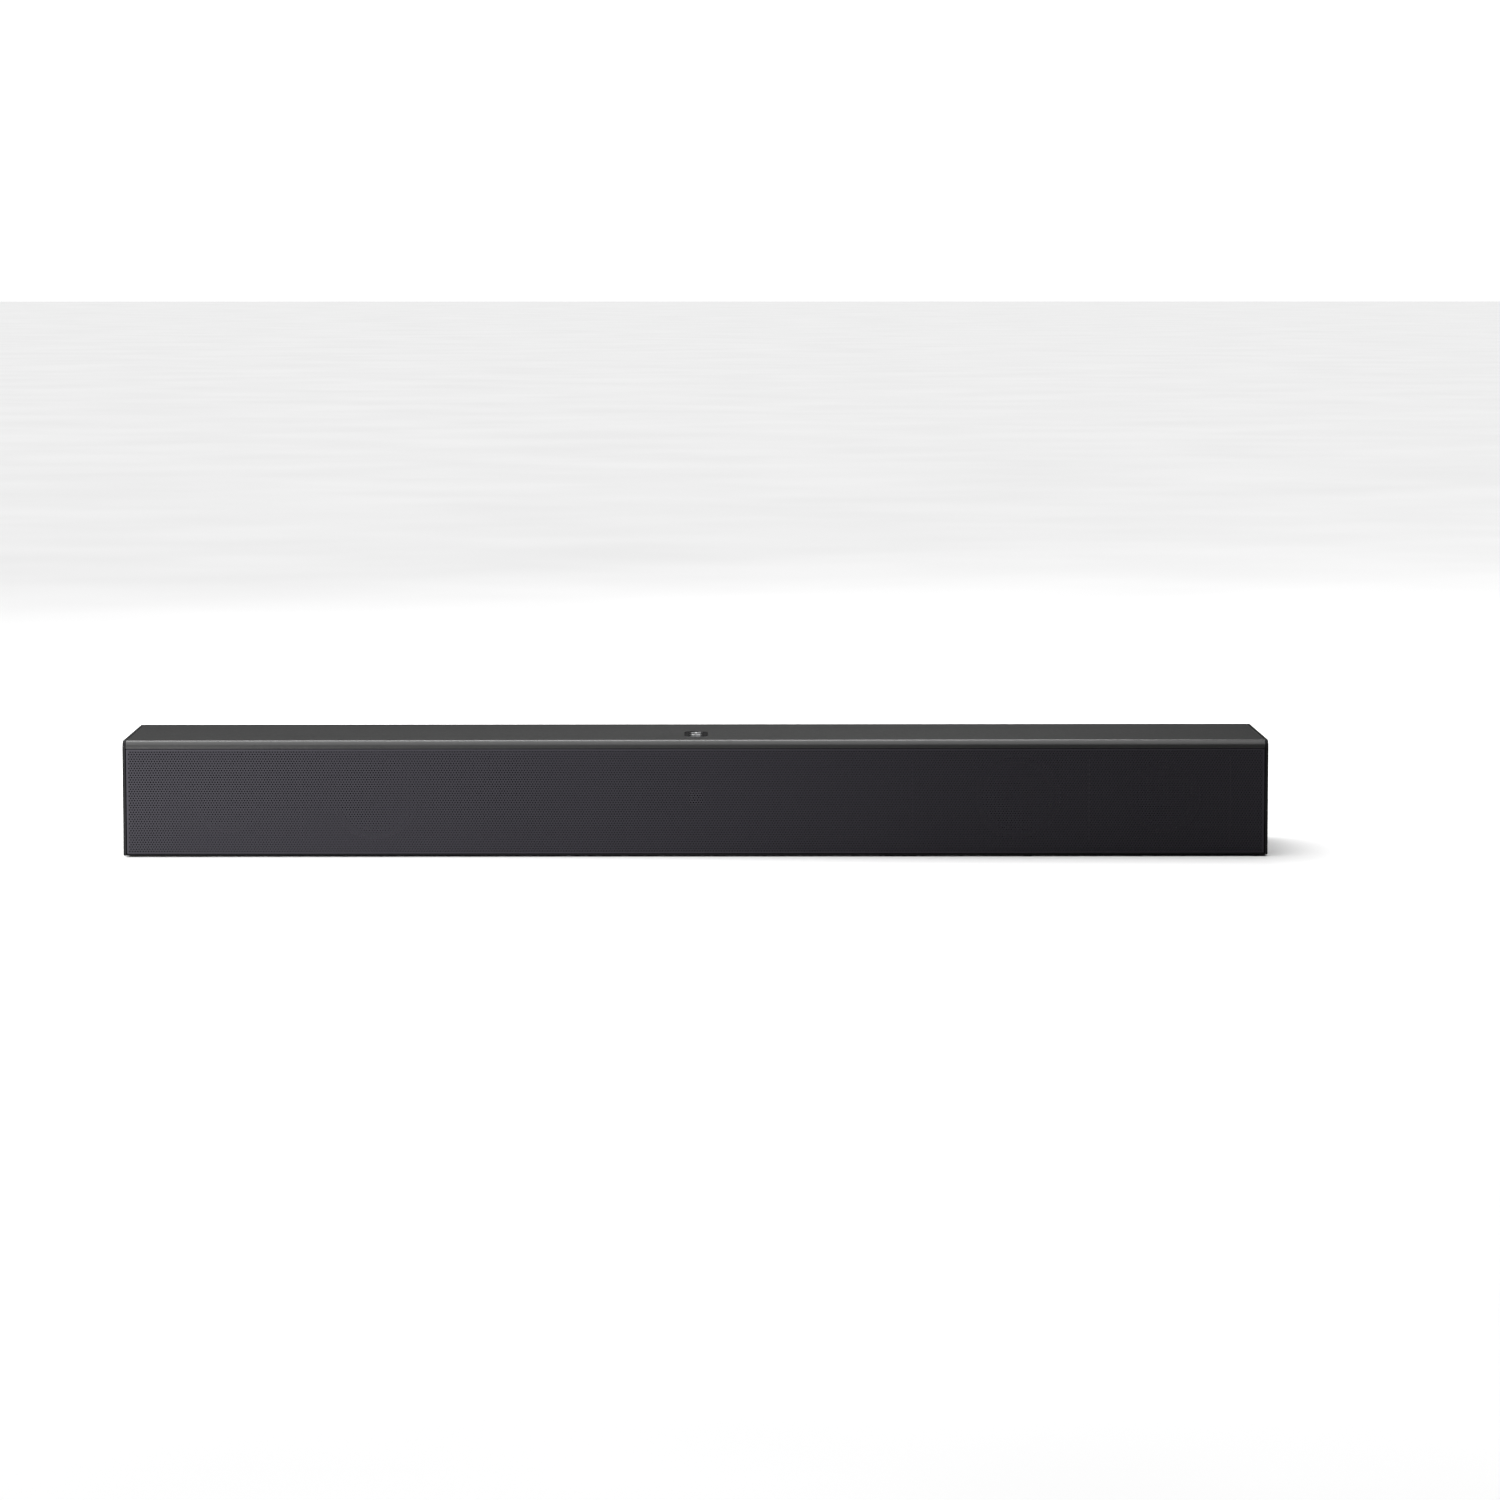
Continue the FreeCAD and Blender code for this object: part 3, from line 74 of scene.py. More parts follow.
# ---- Material building blocks -------------------------------------------------------------------
class Shader:
    """A new material with its Principled shader, and short ways to add and join nodes."""

    def __init__(self, name):
        self.material = bpy.data.materials.new(name)
        self.material.use_nodes = True
        self.tree = self.material.node_tree
        self.bsdf = self.tree.nodes["Principled BSDF"]
        self.coords = self.node("ShaderNodeTexCoord").outputs["Object"]

    def node(self, kind, **settings):
        made = self.tree.nodes.new(kind)
        for key, value in settings.items():
            setattr(made, key, value)
        return made

    def join(self, output, socket):
        self.tree.links.new(output, socket)

    def put(self, **values):
        """Set the shader's own sockets, with spaces written as underscores."""
        for key, value in values.items():
            self.bsdf.inputs[key.replace("_", " ")].default_value = value

    def stretched(self, scale):
        """Object coordinates scaled by a vector, for brushed or ringed patterns."""
        mapping = self.node("ShaderNodeMapping")
        mapping.inputs["Scale"].default_value = scale
        self.join(self.coords, mapping.inputs["Vector"])
        return mapping.outputs["Vector"]

    def noise(self, per_metre, detail=3.0, roughness=0.5, coords=None):
        texture = self.node("ShaderNodeTexNoise")
        texture.inputs["Scale"].default_value = per_metre
        texture.inputs["Detail"].default_value = detail
        texture.inputs["Roughness"].default_value = roughness
        self.join(coords or self.coords, texture.inputs["Vector"])
        return texture.outputs["Fac"]

    def cells(self, per_metre, feature="F1", coords=None):
        texture = self.node("ShaderNodeTexVoronoi", feature=feature)
        texture.inputs["Scale"].default_value = per_metre
        self.join(coords or self.coords, texture.inputs["Vector"])
        return texture.outputs["Distance"]

    def waves(self, per_metre, direction):
        """Straight, undistorted bands across one axis."""
        texture = self.node("ShaderNodeTexWave", wave_type="BANDS", bands_direction=direction)
        texture.inputs["Scale"].default_value = per_metre
        texture.inputs["Distortion"].default_value = 0.0
        self.join(self.coords, texture.inputs["Vector"])
        return texture.outputs["Fac"]

    def ramp(self, value, stops):
        """Colour by value: stops are (position, colour)."""
        ramp = self.node("ShaderNodeValToRGB")
        elements = ramp.color_ramp.elements
        for element, (position, colour) in zip(elements, stops):
            element.position = position
            element.color = (*colour, 1)
        for position, colour in stops[2:]:
            elements.new(position).color = (*colour, 1)
        self.join(value, ramp.inputs["Fac"])
        return ramp.outputs["Color"]

    def spread(self, value, low, high):
        """Map 0..1 to low..high."""
        spread = self.node("ShaderNodeMapRange")
        spread.inputs["To Min"].default_value = low
        spread.inputs["To Max"].default_value = high
        self.join(value, spread.inputs["Value"])
        return spread.outputs["Result"]

    def behind(self, plane_y):
        """1 behind an upright plane across the bar, 0 in front of it."""
        split = self.node("ShaderNodeSeparateXYZ")
        self.join(self.coords, split.inputs["Vector"])
        edge = self.node("ShaderNodeMapRange")
        edge.inputs["From Min"].default_value = plane_y - 0.0001
        edge.inputs["From Max"].default_value = plane_y + 0.0001
        self.join(split.outputs["Y"], edge.inputs["Value"])
        return edge.outputs["Result"]

    def mix(self, factor, first, second):
        mix = self.node("ShaderNodeMix", data_type="RGBA")
        self.join(factor, mix.inputs["Factor"])
        self.join(first, mix.inputs["A"])
        if isinstance(second, tuple):
            mix.inputs["B"].default_value = (*second, 1)
        else:
            self.join(second, mix.inputs["B"])
        return mix.outputs["Result"]

    def edges(self, radius, low=0.86, high=0.99):
        """1 on worn edges, 0 on flat faces."""
        bevel = self.node("ShaderNodeBevel", samples=4)
        bevel.inputs["Radius"].default_value = radius
        geometry = self.node("ShaderNodeNewGeometry")
        dot = self.node("ShaderNodeVectorMath", operation="DOT_PRODUCT")
        self.join(bevel.outputs["Normal"], dot.inputs[0])
        self.join(geometry.outputs["Normal"], dot.inputs[1])
        wear = self.node("ShaderNodeMapRange")
        wear.inputs["From Min"].default_value = high
        wear.inputs["From Max"].default_value = low
        self.join(dot.outputs["Value"], wear.inputs["Value"])
        return wear.outputs["Result"]

    def bump(self, height, depth, strength=1.0, under=None):
        """Add relief of that depth in metres, on top of another relief."""
        bump = self.node("ShaderNodeBump")
        bump.inputs["Distance"].default_value = depth
        bump.inputs["Strength"].default_value = strength
        self.join(height, bump.inputs["Height"])
        if under:
            self.join(under, bump.inputs["Normal"])
        self.join(bump.outputs["Normal"], self.bsdf.inputs["Normal"])
        return bump.outputs["Normal"]

    def colour(self, output):
        self.join(output, self.bsdf.inputs["Base Color"])

    def rough(self, output):
        self.join(output, self.bsdf.inputs["Roughness"])


def shade(colour, factor):
    return tuple(channel * factor for channel in colour)


def moulded(name, colour, roughness, grain=1800, depth=0.00004, wear=0.25, specular=0.2,
            painted_shade_behind=None):
    """Injection-moulded plastic: fine spark-eroded grain, slow tone drift, rubbed edges, and behind an
    optional plane a black band of painted shade.
    """
    s = Shader(name)
    s.put(Specular_IOR_Level=specular)
    drift = s.noise(9, detail=2)
    tone = s.ramp(drift, [(0.3, shade(colour, 0.94)), (0.7, shade(colour, 1.06))])
    fine = s.noise(grain, detail=2, roughness=0.6)
    speckled = s.mix(s.spread(fine, 0.0, 0.16), tone, shade(colour, 1.9))
    rubbed = s.noise(160, detail=4)
    edge = s.node("ShaderNodeMath", operation="MULTIPLY")
    s.join(s.edges(0.0006), edge.inputs[0])
    s.join(s.spread(rubbed, 0.0, wear), edge.inputs[1])
    wear_and_painted_shade = s.mix(edge.outputs[0], speckled, shade(colour, 2.6))
    # Painted shade: behind the plane the shell is painted black, standing in for the shade on its rear
    # top edge.
    if painted_shade_behind is not None:
        wear_and_painted_shade = s.mix(s.behind(painted_shade_behind), wear_and_painted_shade, BLACK)
    s.colour(wear_and_painted_shade)
    s.rough(s.spread(s.noise(420, detail=3), roughness - 0.06, roughness + 0.06))
    coarse = s.bump(s.cells(grain * 0.6), depth * 0.6, 0.5)
    s.bump(fine, depth, 0.6, under=coarse)
    return s.material


def polished(name, colour, roughness=0.16, coat=0.4):
    """Gloss plastic with faint orange peel and hairline scuffs."""
    s = Shader(name)
    s.put(Coat_Weight=coat, Coat_Roughness=0.08)
    tone = s.noise(60, detail=2)
    s.colour(s.ramp(tone, [(0.3, shade(colour, 0.9)), (0.7, shade(colour, 1.12))]))
    scuffs = s.noise(900, detail=4, coords=s.stretched((1.0, 0.12, 0.4)))
    s.rough(s.spread(scuffs, roughness * 0.6, roughness * 1.7))
    s.bump(s.noise(500, detail=1), 0.00001, 0.3)
    return s.material


def brushed(name, colour, roughness, stretch):
    """Metal with fine brush lines along one direction."""
    s = Shader(name)
    s.put(Metallic=1.0)
    lines = s.noise(5200, detail=3, roughness=0.65, coords=s.stretched(stretch))
    tint = s.ramp(lines, [(0.3, shade(colour, 0.78)), (0.72, shade(colour, 1.12))])
    blotch = s.noise(140, detail=3)
    s.colour(s.mix(s.spread(blotch, 0.0, 0.3), tint, shade(colour, 0.6)))
    s.rough(s.spread(lines, roughness - 0.1, roughness + 0.12))
    s.bump(lines, 0.00001, 0.35)
    return s.material


def rubber(name, colour, roughness=0.78, grain=1400):
    """Soft rubber: dusty tone, fine pores."""
    s = Shader(name)
    s.put(Specular_IOR_Level=0.25)
    dust = s.noise(70, detail=5, roughness=0.6)
    tone = s.ramp(dust, [(0.35, shade(colour, 0.8)), (0.8, shade(colour, 1.7))])
    s.colour(tone)
    s.rough(s.spread(dust, roughness - 0.08, roughness + 0.1))
    s.bump(s.cells(grain), 0.00003, 0.5)
    return s.material


def grille_paint():
    """Stove-enamelled steel, slightly violet, with a fine orange peel."""
    s = Shader("grille_steel_paint")
    colour = (0.0195, 0.0183, 0.0228)
    s.put(Specular_IOR_Level=0.12)
    drift = s.noise(7, detail=2)
    tone = s.ramp(drift, [(0.3, shade(colour, 0.95)), (0.7, shade(colour, 1.05))])
    flecks = s.noise(2600, detail=2)
    s.colour(s.mix(s.spread(flecks, 0.0, 0.14), tone, shade(colour, 1.8)))
    s.rough(s.spread(s.noise(600), 0.48, 0.62))
    s.bump(flecks, 0.00001, 0.5)
    return s.material


def circuit_board():
    """Green solder mask over copper tracks, with tinned dots."""
    s = Shader("circuit_board_mask")
    s.put(Coat_Weight=0.3, Coat_Roughness=0.15)
    mask = (0.012, 0.085, 0.038)
    tracks = s.cells(320, feature="DISTANCE_TO_EDGE", coords=s.stretched((1.0, 1.0, 0.0)))
    lines = s.ramp(tracks, [(0.04, (1.0, 1.0, 1.0)), (0.09, (0.0, 0.0, 0.0))])
    green = s.ramp(s.noise(90), [(0.3, shade(mask, 0.85)), (0.7, shade(mask, 1.15))])
    tracked = s.mix(lines, green, (0.03, 0.16, 0.06))
    spots = s.cells(260, coords=s.stretched((1.0, 1.0, 0.0)))
    dots = s.ramp(spots, [(0.05, (1.0,) * 3), (0.08, (0.0,) * 3)])
    s.colour(s.mix(dots, tracked, (0.5, 0.48, 0.42)))
    s.rough(s.spread(s.noise(300), 0.28, 0.42))
    s.bump(lines, 0.00003, 0.5)
    return s.material


def clear_plastic():
    """Clear acrylic light pipe, a little frosted."""
    s = Shader("light_pipe_acrylic")
    s.put(Transmission_Weight=0.85, IOR=1.49)
    haze = s.noise(900, detail=3)
    s.colour(s.ramp(haze, [(0.3, (0.72, 0.76, 0.8)), (0.7, (0.9, 0.93, 0.96))]))
    s.rough(s.spread(haze, 0.12, 0.3))
    s.bump(haze, 0.00001, 0.3)
    return s.material


def cone_paper():
    """Pressed paper pulp, dark, with short fibres."""
    s = Shader("cone_paper_pulp")
    colour = (0.008, 0.0078, 0.0078)
    s.put(Specular_IOR_Level=0.2)
    fibres = s.noise(700, detail=6, roughness=0.75, coords=s.stretched((1.0, 1.0, 0.3)))
    s.colour(s.ramp(fibres, [(0.35, shade(colour, 0.6)), (0.75, shade(colour, 2.4))]))
    s.rough(s.spread(fibres, 0.7, 0.95))
    s.bump(fibres, 0.00015, 0.7)
    return s.material


def ferrite():
    """Ground ferrite: dark grey, pitted, with pale chips."""
    s = Shader("magnet_ferrite")
    colour = (0.03, 0.03, 0.033)
    pits = s.cells(900)
    chips = s.noise(240, detail=6, roughness=0.7)
    body = s.ramp(chips, [(0.3, shade(colour, 0.7)), (0.8, shade(colour, 2.2))])
    s.colour(body)
    s.rough(s.spread(chips, 0.55, 0.8))
    s.bump(pits, 0.00005, 0.6)
    return s.material


def copper_winding():
    """Enamelled wire wound round the coil former."""
    s = Shader("voice_coil_winding")
    s.put(Metallic=0.9)
    turns = s.waves(1500, "Y")
    s.colour(s.ramp(turns, [(0.1, (0.16, 0.05, 0.02)), (0.7, (0.66, 0.27, 0.12))]))
    s.rough(s.spread(turns, 0.45, 0.25))
    s.bump(turns, 0.0001, 0.8)
    return s.material


def spider_cloth():
    """Resin-stiffened cotton: two crossed sets of threads."""
    s = Shader("spider_cotton")
    s.put(Sheen_Weight=0.3, Specular_IOR_Level=0.2)
    warp = s.waves(1200, "X")
    weft = s.waves(1200, "Z")
    weave = s.node("ShaderNodeMath", operation="MULTIPLY")
    s.join(warp, weave.inputs[0])
    s.join(weft, weave.inputs[1])
    s.colour(s.ramp(weave.outputs[0], [(0.1, (0.2, 0.13, 0.05)), (0.8, (0.62, 0.47, 0.22))]))
    s.rough(s.spread(weave.outputs[0], 0.9, 0.7))
    s.bump(weave.outputs[0], 0.0002, 0.8)
    return s.material


def printed(name, colour):
    """Pale pad-printed or two-shot symbol, faintly uneven."""
    s = Shader(name)
    ink = s.noise(1500, detail=4)
    s.colour(s.ramp(ink, [(0.25, shade(colour, 0.8)), (0.7, colour)]))
    s.rough(s.spread(ink, 0.42, 0.62))
    s.bump(ink, 0.00002, 0.4)
    return s.material


SHELL_GREY = (0.0165, 0.0165, 0.0167)
BLACK = (0.0055, 0.0055, 0.006)
# Depth of the black band of painted shade at the shell's rear, standing in for the shaded rear top
# edge.
REAR_PAINTED_SHADE_DEPTH = 10 * MM

FINISHES = {
    "shell_plastic": moulded("shell_moulded_grey", SHELL_GREY, 0.32, specular=0.35,
                             painted_shade_behind=HIGH.y - REAR_PAINTED_SHADE_DEPTH),
    "black_plastic": moulded("inner_moulded_black", BLACK, 0.6, wear=0.15, specular=0.1),
    "grille_steel": grille_paint(),
    "foot_rubber": rubber("foot_soft_rubber", (0.016, 0.016, 0.016)),
    "screw_steel": brushed("screw_black_zinc", (0.09, 0.09, 0.095), 0.38, stretch=(1.0, 1.0, 0.1)),
    "insert_brass": brushed("insert_turned_brass", (0.71, 0.47, 0.17), 0.3, stretch=(1.0, 0.05, 1.0)),
    "gloss_black": polished("bezel_gloss_black", (0.008, 0.008, 0.009)),
    "button_plastic": moulded("button_satin_black", (0.02, 0.02, 0.021), 0.42, grain=2600, wear=0.35),
    "circuit_board": circuit_board(),
    "clear_plastic": clear_plastic(),
    "sink_aluminium": brushed("extruded_aluminium", (0.72, 0.73, 0.75), 0.36, stretch=(1.0, 0.04, 1.0)),
    "socket_steel": brushed("socket_folded_steel", (0.62, 0.61, 0.6), 0.28, stretch=(1.0, 0.08, 1.0)),
    "shutter_plastic": moulded("shutter_satin_grey", (0.035, 0.035, 0.037), 0.45, grain=2600),
    "lead_rubber": rubber("lead_insulation", (0.014, 0.014, 0.015), 0.5, grain=900),
    "basket_steel": moulded("basket_powder_coat", (0.01, 0.01, 0.0105), 0.55, grain=2200,
                            depth=0.00006),
    "cone_paper": cone_paper(),
    "surround_rubber": rubber("surround_butyl", (0.006, 0.006, 0.006), 0.6, grain=2200),
    "ferrite": ferrite(),
    "yoke_steel": brushed("yoke_zinc_plate", (0.5, 0.5, 0.53), 0.33, stretch=(1.0, 0.3, 1.0)),
    "coil_copper": copper_winding(),
    "spider_cloth": spider_cloth(),
}
SYMBOL_INK = printed("symbol_pale_grey", (0.52, 0.53, 0.54))


def dress_cad_nodes():
    """Give each CAD node the finish that its material slot in the record names."""
    for subpart in frame["record"]["subparts"]:
        mesh = NODES[subpart["node"]].data
        mesh.materials.clear()
        mesh.materials.append(FINISHES[subpart["material_slot"]])


# ---- Mesh helpers -------------------------------------------------------------------------------
def add_piece(name, vertices, faces, material):
    """Flat-shaded piece of the cabinet."""
    mesh = bpy.data.meshes.new(name)
    mesh.from_pydata(vertices, [], faces)
    mesh.validate()
    mesh.materials.append(material)
    mesh.polygons.foreach_set("use_smooth", [False] * len(mesh.polygons))
    piece = bpy.data.objects.new(name, mesh)
    bpy.context.scene.collection.objects.link(piece)
    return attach(piece, "cabinet")


def add_bmesh(name, made, material, body="cabinet", smooth_angle=None):
    """Piece that rides on a body, or on none."""
    mesh = bpy.data.meshes.new(name)
    bmesh.ops.recalc_face_normals(made, faces=made.faces)
    made.to_mesh(mesh)
    made.free()
    mesh.materials.append(material)
    if smooth_angle is not None:
        mesh.polygons.foreach_set("use_smooth", [True] * len(mesh.polygons))
        mesh.set_sharp_from_angle(angle=math.radians(smooth_angle))
    piece = bpy.data.objects.new(name, mesh)
    bpy.context.scene.collection.objects.link(piece)
    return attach(piece, body) if body else piece


def prism(made, outline, z_low, z_high):
    """Upright prism over an outline of (x, y) points."""
    bottom = [made.verts.new((x, y, z_low)) for x, y in outline]
    top = [made.verts.new((x, y, z_high)) for x, y in outline]
    count = len(outline)
    for i in range(count):
        made.faces.new((bottom[i], bottom[(i + 1) % count], top[(i + 1) % count], top[i]))
    made.faces.new(bottom[::-1])
    made.faces.new(top)


def rounded_rectangle(width, height, radius, segments=5, centre=(0.0, 0.0)):
    """Corner points of a rectangle with round corners, anticlockwise."""
    points = []
    for corner, (sx, sy) in enumerate(((1, 1), (-1, 1), (-1, -1), (1, -1))):
        for step in range(segments + 1):
            angle = math.pi / 2 * (corner + step / segments)
            points.append((
                centre[0] + sx * (width / 2 - radius) + radius * math.cos(angle),
                centre[1] + sy * (height / 2 - radius) + radius * math.sin(angle),
            ))
    return points


# ---- Front grille -------------------------------------------------------------------------------
GRILLE_LOW, GRILLE_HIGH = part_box("front_grille")
HOLE_PITCH = 1.5 * MM
ROW_PITCH = 1.3 * MM
HOLE_RADIUS = 0.45 * MM
SHEET = 0.8 * MM
BORDER = 0.9 * MM
BEND = 0.5 * MM
PANEL_COUNT = 4


def grille_sizes():
    """Hole counts of one panel, and the hole and row pitches that fill the perforated field."""
    width = GRILLE_HIGH.x - GRILLE_LOW.x - 2 * BORDER
    height = GRILLE_HIGH.z - GRILLE_LOW.z - 2 * BORDER
    columns = round(width / PANEL_COUNT / HOLE_PITCH)
    rows = round(height / ROW_PITCH)
    return columns, rows, width / PANEL_COUNT / columns, height / rows


def perforated_panel(index):
    """One stretch of steel sheet with staggered hexagonal holes right through it.

    Odd rows are shifted by half a pitch, so neighbouring stretches meet in a stepped line.
    """
    columns, rows, pitch, row_pitch = grille_sizes()
    left = GRILLE_LOW.x + BORDER + index * columns * pitch
    bottom = GRILLE_LOW.z + BORDER
    half = pitch / 2
    last = index == PANEL_COUNT - 1
    grid_width = 2 * columns + 1 + (not last)
    sides = (GRILLE_LOW.y, GRILLE_LOW.y + SHEET)
    vertices = [
        (left + i * half, y, bottom + j * row_pitch)
        for y in sides for j in range(rows + 1) for i in range(grid_width)
    ]
    back = grid_width * (rows + 1)
    faces = []

    def grid(i, j):
        return j * grid_width + i

    def plain_cell(i, j):
        loop = [grid(i, j), grid(i + 1, j), grid(i + 1, j + 1), grid(i, j + 1)]
        faces.append(loop)
        faces.append([v + back for v in reversed(loop)])

    def holed_cell(i, j):
        rim = [grid(i, j), grid(i + 1, j), grid(i + 2, j),
               grid(i + 2, j + 1), grid(i + 1, j + 1), grid(i, j + 1)]
        x = left + (i + 1) * half
        z = bottom + (j + 0.5) * row_pitch
        start = len(vertices)
        for y in sides:
            vertices.extend(
                (x + HOLE_RADIUS * math.cos(a), y, z + HOLE_RADIUS * math.sin(a)) for a in angles
            )
        for n in range(6):
            m = (n + 1) % 6
            faces.append([rim[n], rim[m], start + m, start + n])
            faces.append([rim[m] + back, rim[n] + back, start + 6 + n, start + 6 + m])
            faces.append([start + n, start + m, start + 6 + m, start + 6 + n])

    def side_wall(i, j, step_i, step_j):
        a, b = grid(i, j), grid(i + step_i, j + step_j)
        faces.append([a, b, b + back, a + back])

    angles = [math.radians(a) for a in (210, 270, 330, 30, 90, 150)]
    for j in range(rows):
        shift = j % 2
        if shift and index == 0:
            plain_cell(0, j)
        if shift and last:
            plain_cell(grid_width - 2, j)
        for k in range(columns - (shift and last)):
            holed_cell(2 * k + shift, j)
        if index == 0:
            side_wall(0, j, 0, 1)
        if last:
            side_wall(grid_width - 1, j + 1, 0, -1)
    for i in range(2 * columns):
        side_wall(i + 1, 0, -1, 0)
        side_wall(i, rows, 1, 0)
    return add_piece(f"grille_panel_{index + 1}", vertices, faces, FINISHES["grille_steel"])


def grille_frame():
    """Plain border of the grille, bent back at all four edges."""
    width = GRILLE_HIGH.x - GRILLE_LOW.x
    height = GRILLE_HIGH.z - GRILLE_LOW.z
    front, back = GRILLE_LOW.y, GRILLE_HIGH.y
    section = [(BORDER, front)]
    for step in range(5):
        angle = math.pi / 2 * step / 4
        section.append((BEND * (1 - math.sin(angle)), front + BEND * (1 - math.cos(angle))))
    section += [(0.0, back), (SHEET, back), (SHEET, front + SHEET), (BORDER, front + SHEET)]
    made = bmesh.new()
    loops = []
    for inset, y in section:
        radius = max(BORDER - inset, 0.05 * MM) * 0.6
        outline = rounded_rectangle(width - 2 * inset, height - 2 * inset, radius, segments=3)
        middle_x = (GRILLE_LOW.x + GRILLE_HIGH.x) / 2
        middle_z = (GRILLE_LOW.z + GRILLE_HIGH.z) / 2
        loops.append([made.verts.new((middle_x + x, y, middle_z + z)) for x, z in outline])
    for a, b in zip(loops, loops[1:] + loops[:1]):
        for n in range(len(a)):
            m = (n + 1) % len(a)
            made.faces.new((a[n], a[m], b[m], b[n]))
    return add_bmesh("grille_frame", made, FINISHES["grille_steel"], smooth_angle=40)


def build_grille():
    pieces = [perforated_panel(i) for i in range(PANEL_COUNT)] + [grille_frame()]
    for piece in pieces:
        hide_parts("front_grille")


# ---- Surrounds and spiders ----------------------------------------------------------------------
# Outlines are (radius, depth) points in millimetres, at the woofer's size.
ROLL_RADIUS, ROLL_DEPTH = 20.8, 0.5
ROLL_OUTSIDE, ROLL_INSIDE = 1.9, 1.4
INNER_RIM = (18.2, 19.4)
OUTER_RIM = (22.2, 25.0)
RIM_FRONT, RIM_BACK = 0.2, 0.8
ARC_STEPS = 10
SPIDER_OUTLINE = (
    (7.0, 11.4), (8.2, 11.4), (9.2, 10.7), (10.2, 11.4), (11.2, 10.7), (12.2, 11.4), (14.2, 11.4),
    (14.2, 12.0), (12.2, 12.0), (11.2, 11.3), (10.2, 12.0), (9.2, 11.3), (8.2, 12.0), (7.0, 12.0),
)
SECTORS = 12
SECTOR_STEPS = 6


def surround_outline():
    """Half-roll with a flat rim on each side."""
    arcs = [
        [(ROLL_RADIUS + side * radius * math.cos(a), ROLL_DEPTH - radius * math.sin(a))
         for a in (math.radians(first + step * (last - first) / ARC_STEPS)
                   for step in range(ARC_STEPS + 1))]
        for side, radius, first, last in ((-1, ROLL_OUTSIDE, 10, 170), (1, ROLL_INSIDE, 0, 180))
    ]
    inner = [(INNER_RIM[0], RIM_BACK), (INNER_RIM[0], RIM_FRONT)]
    outer = [(OUTER_RIM[1], RIM_FRONT), (OUTER_RIM[1], RIM_BACK), (OUTER_RIM[0], RIM_BACK)]
    return inner + arcs[0] + outer + arcs[1] + [(INNER_RIM[1], RIM_BACK)]


def stretching_ring(driver, part, outline, slot):
    """Ring in sectors that ride on no body; neighbouring sectors agree on the side that they share.
    """
    node = f"{driver}_{part}"
    low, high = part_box(node)
    scale = (high.x - low.x) / 2 / max(radius for radius, _ in outline)
    deepest = max(depth for _, depth in outline)
    centre = Vector(((low.x + high.x) / 2, high.y, (low.z + high.z) / 2))
    width = 2 * math.pi / SECTORS

    def point(radius, depth, angle):
        across, up = radius * math.cos(angle), radius * math.sin(angle)
        return centre + scale * Vector((across, depth - deepest, up))

    for index in range(SECTORS):
        middle = index * width
        made = bmesh.new()
        loops = []
        for step in range(SECTOR_STEPS + 1):
            angle = middle + (step / SECTOR_STEPS - 0.5) * width
            loops.append([made.verts.new(point(radius, depth, angle)) for radius, depth in outline])
        count = len(outline)
        for a, b in zip(loops, loops[1:]):
            for n in range(count):
                m = (n + 1) % count
                made.faces.new((a[n], a[m], b[m], b[n]))
        made.faces.new(loops[0])
        made.faces.new(loops[-1][::-1])
        name = f"{node}_sector_{index + 1}"
        piece = add_bmesh(name, made, FINISHES[slot], body=None, smooth_angle=40)
        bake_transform(piece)
        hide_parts(node)


def build_stretching_rings():
    for driver in ("woofer_left", "woofer_right", "full_range_left", "full_range_right"):
        stretching_ring(driver, "surround", surround_outline(),
                        "surround_rubber")
        stretching_ring(driver, "spider", SPIDER_OUTLINE,
                        "spider_cloth")


# ---- Control symbols ----------------------------------------------------------------------------
SYMBOL_RISE = 0.06 * MM
SYMBOL_SIZE = 5.2 * MM
STROKE = 0.9 * MM


def symbol_bar(made, centre, length, width, z):
    prism(made, rounded_rectangle(length, width, width * 0.3, 3, centre), z, z + SYMBOL_RISE)


def symbol_plus(made, centre, z):
    """Plus sign as one twelve-cornered outline."""
    reach, half = SYMBOL_SIZE / 2, STROKE / 2
    quarter = [(reach, -half), (reach, half), (half, half), (half, reach)]
    outline = []
    for turn in range(4):
        cos, sin = round(math.cos(turn * math.pi / 2)), round(math.sin(turn * math.pi / 2))
        outline += [(x * cos - y * sin, x * sin + y * cos) for x, y in quarter[:3]]
    prism(made, [(centre[0] + x, centre[1] + y) for x, y in outline], z, z + SYMBOL_RISE)


def symbol_ring(made, centre, z, sides=40):
    """Flat ring."""
    loops = []
    for radius, height in (
        (SYMBOL_SIZE / 2, z), (SYMBOL_SIZE / 2, z + SYMBOL_RISE),
        (SYMBOL_SIZE / 2 - STROKE, z + SYMBOL_RISE), (SYMBOL_SIZE / 2 - STROKE, z),
    ):
        loops.append([
            made.verts.new((centre[0] + radius * math.cos(a), centre[1] + radius * math.sin(a), height))
            for a in (2 * math.pi * n / sides for n in range(sides))
        ])
    for a, b in zip(loops, loops[1:] + loops[:1]):
        for n in range(sides):
            m = (n + 1) % sides
            made.faces.new((a[n], a[m], b[m], b[n]))


def build_symbols():
    for body, draw in (("volume_up", "plus"), ("multi_function", "ring"), ("volume_down", "minus")):
        low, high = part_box(body + "_button")
        centre = ((low.x + high.x) / 2, (low.y + high.y) / 2)
        made = bmesh.new()
        if draw == "plus":
            symbol_plus(made, centre, high.z)
        elif draw == "ring":
            symbol_ring(made, centre, high.z)
        else:
            symbol_bar(made, centre, SYMBOL_SIZE, STROKE, high.z)
        piece = add_bmesh(body + "_symbol", made, SYMBOL_INK, body=body)


# ---- Stage --------------------------------------------------------------------------------------
CAMERA_DISTANCE = 2.896
CAMERA_RISE = 0.274
LENS = 125.07
YAW = math.radians(0.596)
PITCH = math.radians(-5.511)


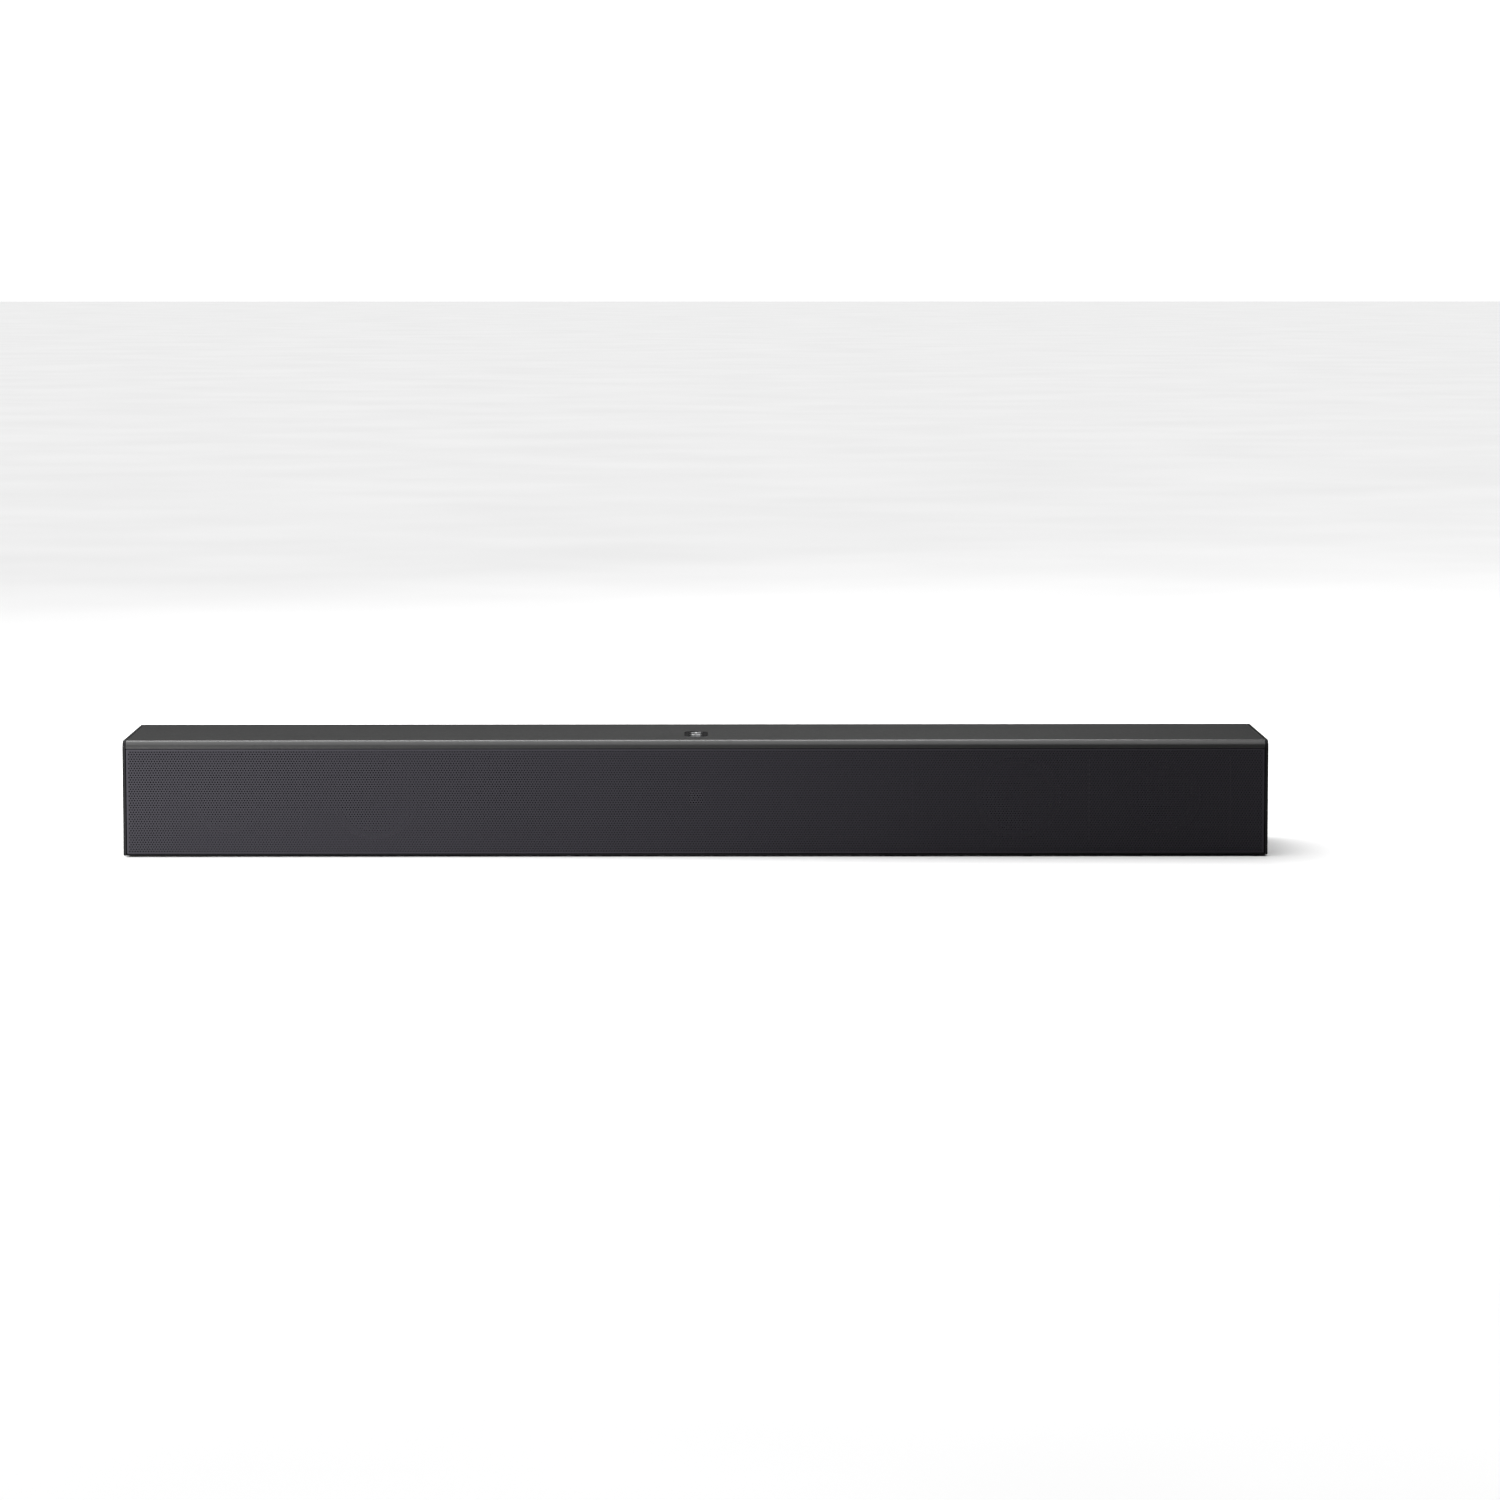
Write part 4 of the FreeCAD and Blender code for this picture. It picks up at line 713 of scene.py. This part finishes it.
def build_camera():
    data = bpy.data.cameras.new("camera")
    data.lens = LENS
    data.sensor_width = 36.0
    data.clip_end = 100.0
    camera = bpy.data.objects.new("camera", data)
    camera.location = (0.0, LOW.y - CAMERA_DISTANCE, HIGH.z + CAMERA_RISE)
    camera.rotation_euler = (math.pi / 2 + PITCH, 0.0, -YAW)
    bpy.context.scene.collection.objects.link(camera)
    bpy.context.scene.camera = camera


SUN_STRENGTH = 3.1
KEY_POWER = 370.0
STRIP_POWER = 24.0
WORLD_SEEN = 1.1
WORLD_LIGHT = 0.035
FLOOR_HALF = 30.0


def add_light(name, kind, location, target, energy, **settings):
    data = bpy.data.lights.new(name, kind)
    data.energy = energy
    for key, value in settings.items():
        setattr(data, key, value)
    light = bpy.data.objects.new(name, data)
    light.location = location
    light.rotation_euler = (Vector(target) - Vector(location)).to_track_quat("-Z", "Y").to_euler()
    bpy.context.scene.collection.objects.link(light)


def build_lights():
    add_light("overhead_sun", "SUN", (0, 0, 3), (0.25, 0.35, 0), SUN_STRENGTH,
              angle=math.radians(70))
    add_light("key_spot", "SPOT", (-1.3, -1.6, 0.5), (-0.40, -0.05, 0.2), KEY_POWER,
              spot_size=math.radians(30), spot_blend=1.0, shadow_soft_size=0.1)
    add_light("rear_strip", "AREA", (-0.62, 0.75, 1.2), (-0.2, 0, 0.05), STRIP_POWER,
              shape="RECTANGLE", size=2.4, size_y=0.45)


def build_floor():
    s = Shader("studio_floor_white")
    tone = s.noise(3, detail=2)
    s.colour(s.ramp(tone, [(0.3, (0.86, 0.86, 0.86)), (0.7, (0.9, 0.9, 0.9))]))
    s.rough(s.spread(tone, 0.85, 0.95))
    s.put(Specular_IOR_Level=0.1)
    corners = [(x * FLOOR_HALF, y * FLOOR_HALF, 0) for x, y in ((-1, -1), (1, -1), (1, 1), (-1, 1))]
    mesh = bpy.data.meshes.new("studio_floor")
    mesh.from_pydata(corners, [], [(0, 1, 2, 3)])
    mesh.materials.append(s.material)
    floor = bpy.data.objects.new("studio_floor", mesh)
    bpy.context.scene.collection.objects.link(floor)


def build_world():
    """White for what looks straight at it, and dim for what it lights."""
    world = bpy.data.worlds.new("studio_world")
    world.use_nodes = True
    bpy.context.scene.world = world
    tree = world.node_tree
    background = tree.nodes["Background"]
    background.inputs["Color"].default_value = (1, 1, 1, 1)
    path = tree.nodes.new("ShaderNodeLightPath")
    strength = tree.nodes.new("ShaderNodeMapRange")
    strength.inputs["To Min"].default_value = WORLD_LIGHT
    strength.inputs["To Max"].default_value = WORLD_SEEN
    tree.links.new(path.outputs["Is Camera Ray"], strength.inputs["Value"])
    tree.links.new(strength.outputs["Result"], background.inputs["Strength"])


dress_cad_nodes()
build_grille()
build_stretching_rings()
build_symbols()
build_camera()
build_lights()
build_floor()
build_world()
bpy.context.scene.view_settings.view_transform = "Standard"
